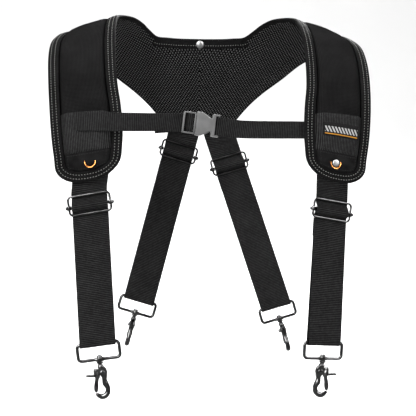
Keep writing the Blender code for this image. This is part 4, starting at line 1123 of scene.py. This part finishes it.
def ribbon(sections, thickness):
    """Webbing with soft selvedges through (middle, half width vector) sections."""
    middles = [np.array(m, float) for m, _ in sections]
    points, uvs = [], []
    run = 0.0
    for k, (middle, half) in enumerate(zip(middles, (np.array(w, float) for _, w in sections))):
        ahead = middles[min(k + 1, len(middles) - 1)] - middles[max(k - 1, 0)]
        normal = np.cross(ahead, half)
        normal = normal / np.linalg.norm(normal)
        run += np.linalg.norm(middle - middles[k - 1]) if k else 0.0
        width = np.linalg.norm(half)
        for across, up in RIBBON_SECTION:
            points.append(middle + half * across + normal * up * thickness / 2)
            uvs.append((across * width, run))
    return points, capped_faces(len(middles), len(RIBBON_SECTION)), uvs


def smooth_sections(keys, per_span):
    """Sections along a curve through (middle, half width vector) keys."""
    flat = smooth_path([np.concatenate(key) for key in keys], per_span)
    return [(key[:3], key[3:]) for key in flat]


def strap_axes(strap):
    yaw, lean = math.radians(strap["yaw"]), math.radians(strap["lean"])
    across = np.array((math.cos(yaw), math.sin(yaw), 0.0))
    front = np.array((math.sin(yaw), -math.cos(yaw), 0.0))
    down = math.sin(lean) * across - math.cos(lean) * np.array((0.0, 0.0, 1.0))
    return across, down, front


def leaned(across, degrees):
    turn = math.radians(degrees)
    return math.cos(turn) * across + math.sin(turn) * np.array((0.0, 0.0, 1.0))


def hardware_matrix(origin, across, degrees):
    return frame_matrix(origin, leaned(across, degrees), leaned(across, degrees + 90))


def arc(centre, radius, start, end, steps):
    points = []
    for k in range(steps + 1):
        turn = math.radians(start + (end - start) * k / steps)
        points.append((centre + radius * math.sin(turn), radius * math.cos(turn)))
    return points


TOP_WIRE = -BAR_BELOW_CENTRE - SLIDER_HEIGHT / 2
LOW_WIRE = -BAR_BELOW_CENTRE + SLIDER_HEIGHT / 2
FRAME_TRAVEL = 3.0
TOP_TURN, LOW_TURN = TOP_WIRE + FRAME_TRAVEL, LOW_WIRE - FRAME_TRAVEL
BEHIND_WIRE = SLIDER_WIRE + 0.3 + WEBBING_THICK / 2 + 0.05
LAYER = WEBBING_THICK + 0.45
ROUND_BAR = BAR_RADIUS + 0.3 + WEBBING_THICK / 2 + 0.1
OVER_BAR = ROUND_BAR + LAYER + 0.1


def crossing(distance, sum_of_radii):
    return math.degrees(math.asin(sum_of_radii / distance))


def lower_path(length):
    """From behind the slider's top wire, over the bar, down, round the ring and back up."""
    upper = crossing(-TOP_TURN, OVER_BAR + BEHIND_WIRE)
    lower = crossing(LOW_TURN, OVER_BAR + BEHIND_WIRE)
    path = [(TOP_WIRE, -BEHIND_WIRE)] + arc(TOP_TURN, BEHIND_WIRE, 180, 180 - upper, 5)
    path += arc(0.0, OVER_BAR, -upper, lower, 12)
    path += arc(LOW_TURN, BEHIND_WIRE, 180 + lower, 180, 5) + [(LOW_WIRE, -BEHIND_WIRE)]
    end = length - SPLIT_ABOVE_RING
    for k in range(1, 25):
        share = k / 24
        path.append((LOW_WIRE + (end - LOW_WIRE) * share,
                     -BEHIND_WIRE + (FOLD_RADIUS + BEHIND_WIRE) * share))
    path += arc(length, FOLD_RADIUS, 0, 180, 16)
    behind = BEHIND_WIRE + LAYER
    slope = crossing(LOW_TURN, ROUND_BAR + behind)
    tail = behind + LAYER + 0.3
    back_slope = math.degrees(math.asin((tail - ROUND_BAR) / LOW_WIRE))
    for k in range(25):
        share = k / 24
        path.append((end + (LOW_WIRE + 3.0 - end) * share, -FOLD_RADIUS
                     + (FOLD_RADIUS - behind) * min(share * 1.25, 1.0)))
    path += [(LOW_WIRE, -behind)] + arc(LOW_TURN, behind, 180, 180 + slope, 4)
    path += arc(0.0, ROUND_BAR, slope, -180 - back_slope, 18)
    path.append((LOW_WIRE + 2.0, -tail))
    for k in range(1, 7):
        path.append((LOW_WIRE + 2.0 + (TAIL_LENGTH - 2.0) * k / 6, -tail))
    return path


def strap_point(strap, run):
    """A point on the strap's line, a run below its bar."""
    return np.array(strap["bar"], float) + strap_axes(strap)[1] * run


def strap_section(strap, down_out, degrees):
    across, _, front = strap_axes(strap)
    middle = strap_point(strap, down_out[0]) + front * down_out[1]
    skew = math.radians(degrees - strap["lean"])
    return middle, leaned(across, degrees) * WEBBING / 2 / math.cos(skew)


def turned_section(strap, down_out):
    """A section whose ends turn from the slider's lean to the ring's on the way down."""
    share = (down_out[0] - LOW_WIRE) / (strap["length"] - SPLIT_ABOVE_RING - LOW_WIRE)
    share = min(max(share, 0.0), 1.0)
    degrees = strap["slider"] + (strap["ring"] - strap["slider"]) * share
    return strap_section(strap, down_out, degrees)


def rivet_place(side):
    share = share_at(side, RIVET_STATION, "neck", RIVET_FROM_NECK_EDGE)
    return pad_frame(side, RIVET_STATION, share, 0.0)


def upper_sections(name, strap):
    """Webbing from its anchor to just behind the slider's top wire."""
    last = turned_section(strap, (TOP_WIRE, -BEHIND_WIRE))
    if name.startswith("front"):
        side = -1 if name.endswith("left") else 1
        place = rivet_place(side)
        normal = np.array(place.col[2][:3])
        origin = np.array(place.translation) - normal * 3.25
        first, half = strap_section(strap, (TOP_WIRE - 6.0, -BEHIND_WIRE), strap["slider"])
        down = first - origin
        down = down - normal * np.dot(down, normal)
        down = down / np.linalg.norm(down)
        across = np.cross(normal, down)
        across = across / np.linalg.norm(across) * np.sign(np.dot(across, half)) * WEBBING / 2
        keys = [(origin - down * 15.0, across), (origin, across), (origin + down * 14.0, across),
                ((origin + down * 14.0 + first) / 2, (across + half) / 2), (first, half), last]
    else:
        _, down, _ = strap_axes(strap)
        at_edge = (ARM_EDGE[-1][2] - strap["bar"][2]) / -down[2]
        out = -BEHIND_WIRE
        keys = [strap_section(strap, (-at_edge - 8.0, out + 1.4), 0.0),
                strap_section(strap, (-at_edge, out), 0.0),
                strap_section(strap, ((TOP_WIRE - at_edge) / 2, out), strap["slider"] / 2),
                strap_section(strap, (TOP_WIRE - 6.0, out), strap["slider"]), last]
    return smooth_sections(keys, 6)


def make_strap_webbing(name, strap, materials):
    """Two lengths of one webbing, met behind the slider's top wire, where nothing shows."""
    upper = upper_sections(name, strap)
    piece = one_piece(name + "_strap_upper", ribbon(upper, WEBBING_THICK), materials["webbing"],
                      "webbing", None, name + "_webbing", smooth=60.0)
    end = strap_point(strap, TOP_WIRE - 2.0)
    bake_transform(piece)

    sections = [turned_section(strap, p) for p in lower_path(strap["length"])]
    piece = one_piece(name + "_strap_lower", ribbon(sections, WEBBING_THICK),
                      materials["webbing"], "webbing", None, name + "_webbing_loop", smooth=60.0)
    low = Vector(strap_point(strap, LOW_WIRE + TAIL_LENGTH + 3.0)) * MM
    high = Vector(strap_point(strap, strap["length"] - SPLIT_ABOVE_RING)) * MM
    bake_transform(piece)

    tack = Builder()
    tail = BEHIND_WIRE + 2 * LAYER + 0.3
    for run in (LOW_WIRE + 6.0, LOW_WIRE + TAIL_LENGTH - 4.0):
        middle, half = turned_section(strap, (run, -tail - WEBBING_THICK / 2 - 0.1))
        ends = [middle - half * 0.9, middle + half * 0.9]
        add_stitches(tack, ends, [-strap_axes(strap)[2]] * 2, 2.4, 0.9, 0.34)
    settle(tack.piece(name + "_tail_stitching", materials["thread_dark"]), "webbing",
           name + "_slider")


# ---------------------------------------------------------------- metalwork


def slider_meshes():
    """The wire frame, and the sewn bar with its two eyes and round ends."""
    wire = tube(rounded_rectangle(SLIDER_WIDTH, SLIDER_HEIGHT, SLIDER_CORNER + 0.5),
                SLIDER_WIRE + 0.08, 16, closed=True)
    bar = Builder()
    half = SLIDER_WIDTH / 2
    bar.add(*tube([(x, 0, 0) for x in (-half + 2.0, -20, 0, 20, half - 2.0)], BAR_RADIUS, 16))
    for side in (-1, 1):
        eye = lathe([(1.75, -3.0), (2.3, -3.1), (3.0, -2.8), (3.3, -2.0), (3.35, 0.0),
                     (3.3, 2.0), (3.0, 2.8), (2.3, 3.1), (1.75, 3.0), (1.75, -3.0)], 24)
        bar.add(*eye, matrix=Matrix.Translation((side * half, 0, 0)))
        knob = lathe([(0.0, 0.0), (2.0, 0.0), (2.3, 0.5), (2.3, 1.3), (1.9, 2.0), (1.0, 2.4),
                      (0.0, 2.5)], 20)
        turn = Matrix.Rotation(math.radians(90 * side), 4, "Y")
        bar.add(*knob, matrix=Matrix.Translation((side * (half + 2.6), 0, 0)) @ turn)
    return wire, bar.shell()


def ring_shape():
    """The strap ring and the barrel of its swivel. The origin is the bottom wire's middle."""
    path = [(x, y, z + RING_HEIGHT / 2) for x, y, z in
            rounded_rectangle(RING_WIDTH, RING_HEIGHT, RING_CORNER)]
    builder = Builder()
    builder.add(*tube(path, RING_WIRE + 0.25, 16, closed=True))
    top, wide = BOSS_HALF, BOSS_RADIUS
    barrel = lathe([(2.0, -top), (wide - 1.0, -top), (wide - 0.3, -top + 0.25),
                    (wide, -top + 0.9), (wide + 0.15, 0.0), (wide, top - 0.9),
                    (wide - 0.3, top - 0.25), (wide - 1.0, top), (2.0, top)], 32)
    builder.add(*barrel)
    for side in (-1, 1):
        collar = tube([(side * x, 0, 0) for x in (3.0, 5.0, 6.6, 8.0)], [3.1, 3.0, 2.5, 2.1], 16)
        builder.add(*collar)
    return builder.shell()


def cast_form(name, shells, voxel, smoothing):
    """Join overlapping shells into one smooth casting."""
    builder = Builder()
    for shell in shells:
        builder.add(*shell)
    source = builder.piece(name, bpy.data.materials["black_nickel"])
    remesh = source.modifiers.new("remesh", "REMESH")
    remesh.mode = "VOXEL"
    remesh.voxel_size = voxel * MM
    smooth = source.modifiers.new("smooth", "SMOOTH")
    smooth.factor = 0.5
    smooth.iterations = smoothing
    graph = bpy.context.evaluated_depsgraph_get()
    mesh = bpy.data.meshes.new_from_object(source.evaluated_get(graph), depsgraph=graph)
    bpy.data.objects.remove(source, do_unlink=True)
    points = [v.co / MM for v in mesh.vertices]
    faces = [tuple(p.vertices) for p in mesh.polygons]
    bpy.data.meshes.remove(mesh)
    return points, faces, [(p.x, p.z) for p in points]


def bow(keys, flat):
    """A cast arm through (x, z, radius) keys, its section stretched along Y."""
    path = smooth_path(keys, 5)
    return tube([(x, 0, z) for x, z, _ in path], [r for _, _, r in path], 16, flat=flat)


def hook_shapes():
    """The hook's body, its post, its gate and lever, with the lever towards -X."""
    arm = bow([(4.2, -20.0, 3.6), (4.6, -25.0, 3.9), (4.7, -29.0, 3.7), (5.5, -34.0, 4.3),
               (7.8, -38.6, 3.7), (8.5, -42.4, 3.6), (7.6, -47.0, 3.8), (4.4, -50.6, 4.0),
               (0.2, -51.9, 4.0), (-3.8, -50.6, 3.4), (-6.6, -48.4, 2.6), (-8.9, -46.9, 1.7)],
              1.05)
    cheek_outline = [(-2.0, -9.4), (2.2, -9.2), (5.4, -10.2), (8.4, -13.6), (9.4, -18.6),
                     (8.9, -23.0), (8.0, -27.5), (3.0, -27.5), (0.4, -24.5), (-1.1, -20.5),
                     (-1.8, -17.0), (-2.2, -13.2)]
    left_cheek = prism(cheek_outline, -4.2, -2.7, bevel=0.7)
    right_cheek = prism(cheek_outline, 2.7, 4.2, bevel=0.7)
    crown = tube([(0, 0, -7.0), (0.4, 0, -9.5), (1.4, 0, -12.2)], [3.2, 4.6, 4.4], 18, flat=0.98)
    heel = prism([(5.2, -13.0), (7.6, -15.0), (8.6, -19.0), (7.9, -25.0), (5.6, -29.0),
                  (6.3, -22.0)], -3.6, 3.6, bevel=0.8)
    body = cast_form("hook_cast", [arm, left_cheek, right_cheek, crown, heel], 0.42, 5)
    post = lathe([(0.0, 6.0), (1.6, 5.95), (3.0, 5.4), (3.8, 4.6), (3.95, 3.75), (1.6, 3.7),
                  (1.6, -3.7), (4.6, -3.7), (5.0, -4.1), (5.0, -4.9), (4.4, -5.6), (3.0, -6.0),
                  (2.7, -7.5), (3.0, -8.6)], 32)
    knuckle = tube([(2.6, -2.3, -18.6), (2.6, 2.3, -18.6)], 3.9, 24)
    web = tube([(2.0, 0, -18.6), (-2.6, 0, -18.4), (-5.8, 0, -18.4)], [3.4, 3.4, 3.4], 14,
               flat=0.62)
    shoulder = bow([(-6.2, -12.2, 2.4), (-6.6, -14.2, 3.1), (-6.8, -17.0, 3.4),
                    (-5.9, -21.0, 3.6), (-5.4, -24.5, 3.2), (-6.0, -28.5, 2.8),
                    (-6.9, -33.0, 3.0), (-7.5, -38.0, 3.4), (-7.8, -42.4, 2.9),
                    (-6.9, -44.9, 1.9)], 1.08)
    plate = prism([(-6.6, -12.6), (-1.6, -13.6), (0.8, -15.6), (0.4, -19.4), (-0.6, -22.4),
                   (-1.5, -25.4), (-4.2, -28.4), (-6.6, -24.0)], -2.35, 2.35, bevel=0.4)
    gate = cast_form("gate_cast", [knuckle, web, shoulder, plate], 0.4, 4)
    lever = prism([(-7.4, -20.9), (-12.0, -20.6), (-19.6, -20.2), (-20.6, -20.9),
                   (-20.6, -21.9), (-19.6, -22.7), (-12.0, -23.2), (-7.4, -23.9)], -6.0, 6.0,
                  bevel=0.9)
    return body, post, gate, lever


def lever_ribs():
    """Low ribs across the thumb lever."""
    return [tube([(x, -4.8, z), (x, 4.8, z)], 0.42, 8)
            for x, z in ((-13.6, -20.5), (-15.6, -20.4), (-17.6, -20.3), (-19.2, -20.3))]


def pin_shape():
    pin = lathe([(0.0, -5.4), (1.5, -5.35), (2.9, -5.1), (3.4, -4.7), (3.4, -4.3), (1.3, -4.25),
                 (1.3, 4.25), (3.4, 4.3), (3.4, 4.7), (2.9, 5.1), (1.5, 5.35), (0.0, 5.4)], 28)
    turn = Matrix.Translation((PIVOT[0], 0, PIVOT[1])) @ Matrix.Rotation(math.radians(90), 4, "X")
    return [turn @ Vector(p) for p in pin[0]], pin[1], pin[2]


def spring_shape():
    path = []
    for k in range(61):
        turn = 2 * math.pi * k / 20
        path.append((PIVOT[0] + 2.0 * math.cos(turn), -2.45 + 0.055 * k,
                     PIVOT[1] + 2.0 * math.sin(turn)))
    return tube(path, 0.3, 8)


def hook_matrix(strap):
    across = strap_axes(strap)[0]
    top = strap_point(strap, strap["length"])
    middle = top - leaned(across, strap["ring"] + 90) * RING_HEIGHT
    place = hardware_matrix(middle, np.array((1.0, 0.0, 0.0)), strap["hook"])
    return place @ Matrix.Rotation(math.radians(strap["swivel"]), 4, "Z")


def metal_piece(name, shells, place, material, node, body, slot="gunmetal"):
    builder = Builder()
    for shell in shells:
        builder.add(*shell, matrix=place)
    settle(builder.piece(name, material, 40.0), slot, body, node)


def make_metalwork(materials):
    wire, bar = slider_meshes()
    ring = ring_shape()
    body, post, gate, lever = hook_shapes()
    ribs = lever_ribs()
    pin, spring = pin_shape(), spring_shape()
    metal = materials["gunmetal"]
    for name, strap in STRAPS.items():
        across = strap_axes(strap)[0]
        bar_place = hardware_matrix(strap["bar"], across, strap["slider"])
        wire_place = bar_place @ Matrix.Translation((0, 0, BAR_BELOW_CENTRE))
        metal_piece(name + "_slider_wire", [wire], wire_place, metal, name + "_slider_frame",
                    name + "_frame")
        metal_piece(name + "_sewn_bar", [bar], bar_place, metal, name + "_slider_bar",
                    name + "_slider")
        top = strap_point(strap, strap["length"])
        ring_place = hardware_matrix(top, across, strap["ring"])
        ring_place = ring_place @ Matrix.Translation((0, 0, -RING_HEIGHT))
        metal_piece(name + "_strap_ring", [ring], ring_place, metal, name + "_ring",
                    name + "_ring")
        place = hook_matrix(strap)
        if strap["hand"] > 0:
            place = place @ Matrix.Diagonal((-1, 1, 1, 1))
        metal_piece(name + "_hook_body", [body, post], place, metal, name + "_hook",
                    name + "_hook")
        metal_piece(name + "_hook_gate", [gate, lever, *ribs], place, metal, name + "_gate",
                    name + "_gate")
        metal_piece(name + "_hook_pin", [pin], place, metal, name + "_gate_pin", name + "_hook")
        metal_piece(name + "_hook_spring", [spring], place, materials["nickel"],
                    name + "_gate_spring", name + "_hook", "nickel")


# ---------------------------------------------------------------- chest strap and buckle


def buckle_matrix():
    return hardware_matrix(BUCKLE, np.array((1.0, 0.0, 0.0)), BUCKLE_LEAN)


def buckle_section(x, y, z=0.0):
    place = buckle_matrix()
    middle = np.array(place @ Vector((x, y, z)))
    up = np.array(place.to_3x3() @ Vector((0, 0, 1)))
    return middle, up * CHEST_WEBBING / 2


def pad_section(side, from_neck, level, lift):
    """A chest webbing section lying on a pad at a height."""
    ends = []
    for z in (level - CHEST_WEBBING / 2, level + CHEST_WEBBING / 2):
        low, high = 0.0, 6.0
        for _ in range(30):
            middle = (low + high) / 2
            point, normal, _, _ = yoke_frame(side, middle, "neck", from_neck)
            if point[2] < z:
                low = middle
            else:
                high = middle
        ends.append(point + normal * lift)
    return (ends[0] + ends[1]) / 2, (ends[1] - ends[0]) / 2


def make_chest_straps(materials):
    """Left: sewn over its pad and laced through the ladder. Right: looped on the socket."""
    over = 12.5 + 0.6 + 1.3 + CHEST_THICK / 2 + 0.4
    keys = [pad_section(-1, d, CHEST_STRAP_Z, over - drop)
            for d, drop in ((62.0, 0.6), (54.0, 0.5), (50.0, -0.9), (46.0, -0.9), (34.0, 0.7),
                            (18.0, 2.3))]
    lacing = [(-40.0, 3.3, -2.6), (-27.0, 3.3, -0.8), (-20.4, 3.3), (-17.9, -1.2), (-16.1, -3.1),
              (-13.4, -3.2), (-12.0, -2.2), (-11.6, 0.0), (-12.1, 2.6), (-13.6, 3.8),
              (-16.2, 4.6), (-21.6, 5.4), (-27.0, 5.4, -1.2), (-62.0, 5.6, -8.4)]
    keys += [buckle_section(*place) for place in lacing]
    one_piece("chest_webbing_left", ribbon(smooth_sections(keys, 5), CHEST_THICK),
              materials["webbing"], "webbing", "yoke", "chest_strap_left", smooth=60.0)

    under = [pad_section(1, d, -162.5 + drop, -3.2) for d, drop in ((23.5, 0.0), (5.0, 1.0))]
    around = 1.1 + 0.3 + CHEST_THICK / 2 + 0.35
    bar = 23.35
    lacing = [(60.0, -around + 0.6), (30.0, -around), (bar, -around)]
    for k in range(1, 6):
        turn = math.radians(180 * k / 6)
        lacing.append((bar - around * math.sin(turn) * 1.05, -around * math.cos(turn)))
    lacing += [(bar, around), (30.0, around), (54.0, around - 0.3)]
    keys = under + [buckle_section(a, b) for a, b in lacing]
    right = one_piece("chest_webbing_right", ribbon(smooth_sections(keys, 6), CHEST_THICK),
                      materials["webbing"], "webbing", None, "chest_strap_right", smooth=60.0)
    place = buckle_matrix()
    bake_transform(right)


def refined(node, name, body, material, bevel):
    """A solid with its flat faces merged and its edges rounded."""
    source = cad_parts[node]
    obj = bpy.data.objects.new(name, source.data.copy())
    bpy.context.scene.collection.objects.link(obj)
    bm = bmesh.new()
    bm.from_mesh(obj.data)
    bmesh.ops.remove_doubles(bm, verts=bm.verts, dist=0.00001)
    bmesh.ops.dissolve_limit(bm, angle_limit=math.radians(1.0), verts=bm.verts, edges=bm.edges)
    bm.to_mesh(obj.data)
    bm.free()
    obj.data.materials.clear()
    obj.data.materials.append(material)
    rounding = obj.modifiers.new("rounding", "BEVEL")
    rounding.width = bevel * MM
    rounding.segments = 3
    rounding.limit_method = "ANGLE"
    rounding.angle_limit = math.radians(35.0)
    graph = bpy.context.evaluated_depsgraph_get()
    mesh = bpy.data.meshes.new_from_object(obj.evaluated_get(graph), depsgraph=graph)
    obj.modifiers.clear()
    obj.data = mesh
    mesh.shade_smooth()
    mesh.set_sharp_from_angle(angle=math.radians(35.0))
    settle(obj, "grey_plastic", body, node)


def make_plug(plastic):
    """The plug's thin ladder frame, its cross bar and the tongue inside the socket."""
    builder = Builder()
    bars = [((-25.5, -23.2), (-14.9, 14.9), 2.2), ((-9.4, -7.3), (-14.9, 14.9), 2.2),
            ((-25.5, -7.3), (13.1, 14.9), 2.2), ((-25.5, -7.3), (-14.9, -13.1), 2.2),
            ((-16.0, -13.4), (-14.2, 14.2), 1.9), ((-8.0, 8.0), (-2.4, 2.4), 1.8)]
    for (left, right), (low, high), half in bars:
        outline = [(left, low), (right, low), (right, high), (left, high)]
        builder.add(*prism(outline, -half, half, bevel=0.45), matrix=buckle_matrix())
    settle(builder.piece("plug_body", plastic), "grey_plastic", "yoke", "buckle_plug")


def make_buckle(materials):
    plastic = materials["plastic"]
    make_plug(plastic)
    refined("buckle_socket", "socket_body", "buckle_socket", plastic, 0.5)
    refined("prong_upper", "upper_button", "prong_upper", plastic, 0.3)
    refined("prong_lower", "lower_button", "prong_lower", plastic, 0.3)


# ---------------------------------------------------------------- studio


LIGHTS = (  # name, place, diameter and watts of the soft lights
    ("key", (-1.3, -1.9, 1.9), 1.0, 85.0), ("fill", (1.9, -1.8, 0.4), 1.0, 15.0),
    ("top", (0.0, 0.1, 1.9), 1.2, 90.0), ("rear", (0.6, 1.7, 1.1), 1.2, 110.0),
)
SHEENS = (  # name, place, width, height and watts of the lights that only gloss shows
    ("sheen_left", (-1.3, -1.6, 0.9), 1.2, 2.2, 750.0),
    ("sheen_right", (1.5, -0.9, 1.0), 1.0, 1.8, 320.0),
)
AIM = Vector((0, 0, -0.2))
CAMERA_PLACE, CAMERA_TARGET, LENS = (-0.150, -1.610, -0.272), (-0.0085, -0.125, -0.272), 92.5
FLOOR, FLOOR_BACK, SWEEP_RADIUS = -0.60, 1.2, 1.6


def add_light(name, place, wide, tall, watts):
    """A round light, or an upright rectangle where its two sizes differ."""
    data = bpy.data.lights.new(name, "AREA")
    data.energy = watts
    data.shape = "DISK" if wide == tall else "RECTANGLE"
    data.size = wide
    if wide != tall:
        data.size_y = tall
    light = bpy.data.objects.new(name, data)
    light.location = place
    light.rotation_euler = (AIM - Vector(place)).to_track_quat("-Z", "Y").to_euler()
    bpy.context.scene.collection.objects.link(light)
    return light


def make_studio():
    """A pale sweep, the lights, and the camera in front of the chest."""
    steps = [(-6.0, FLOOR), (FLOOR_BACK, FLOOR)]
    for k in range(1, 11):
        turn = math.radians(9 * k)
        steps.append((FLOOR_BACK + SWEEP_RADIUS * math.sin(turn),
                      FLOOR + SWEEP_RADIUS * (1 - math.cos(turn))))
    steps.append((2.8, 6.0))
    points = [(x * 1000, y * 1000, z * 1000) for y, z in steps for x in (-7.0, 7.0)]
    material, _, shader = new_material("studio_paper", 0.9)
    shader.inputs["Base Color"].default_value = (0.52, 0.52, 0.52, 1.0)
    sweep = add_piece("studio_sweep", points, grid_faces(len(steps), 2), material,
                      [(p[0], p[2]) for p in points], 60.0)

    world = bpy.data.worlds.new("studio")
    world.use_nodes = True
    background = world.node_tree.nodes["Background"]
    background.inputs["Color"].default_value = (1.0, 1.0, 1.0, 1.0)
    background.inputs["Strength"].default_value = 0.85
    bpy.context.scene.world = world

    for name, place, size, watts in LIGHTS:
        add_light(name, place, size, size, watts)
    for name, place, wide, tall, watts in SHEENS:
        add_light(name, place, wide, tall, watts).visible_diffuse = False

    data = bpy.data.cameras.new("camera")
    data.sensor_width = 36.0
    data.lens = LENS
    camera = bpy.data.objects.new("camera", data)
    camera.location = CAMERA_PLACE
    look = Vector(CAMERA_TARGET) - camera.location
    camera.rotation_euler = look.to_track_quat("-Z", "Y").to_euler()
    bpy.context.scene.collection.objects.link(camera)
    bpy.context.scene.camera = camera
    bpy.context.scene.view_settings.view_transform = "Standard"


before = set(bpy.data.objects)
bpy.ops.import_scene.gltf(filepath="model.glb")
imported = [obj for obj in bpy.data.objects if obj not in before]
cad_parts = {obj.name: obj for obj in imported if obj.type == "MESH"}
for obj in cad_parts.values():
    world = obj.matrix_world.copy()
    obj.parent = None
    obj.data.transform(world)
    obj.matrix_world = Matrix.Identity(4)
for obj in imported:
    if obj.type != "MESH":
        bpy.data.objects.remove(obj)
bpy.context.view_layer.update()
looks = make_materials()
make_yoke(looks)
for strap_name, strap_data in STRAPS.items():
    make_strap_webbing(strap_name, strap_data, looks)
make_metalwork(looks)
make_chest_straps(looks)
make_buckle(looks)
make_studio()
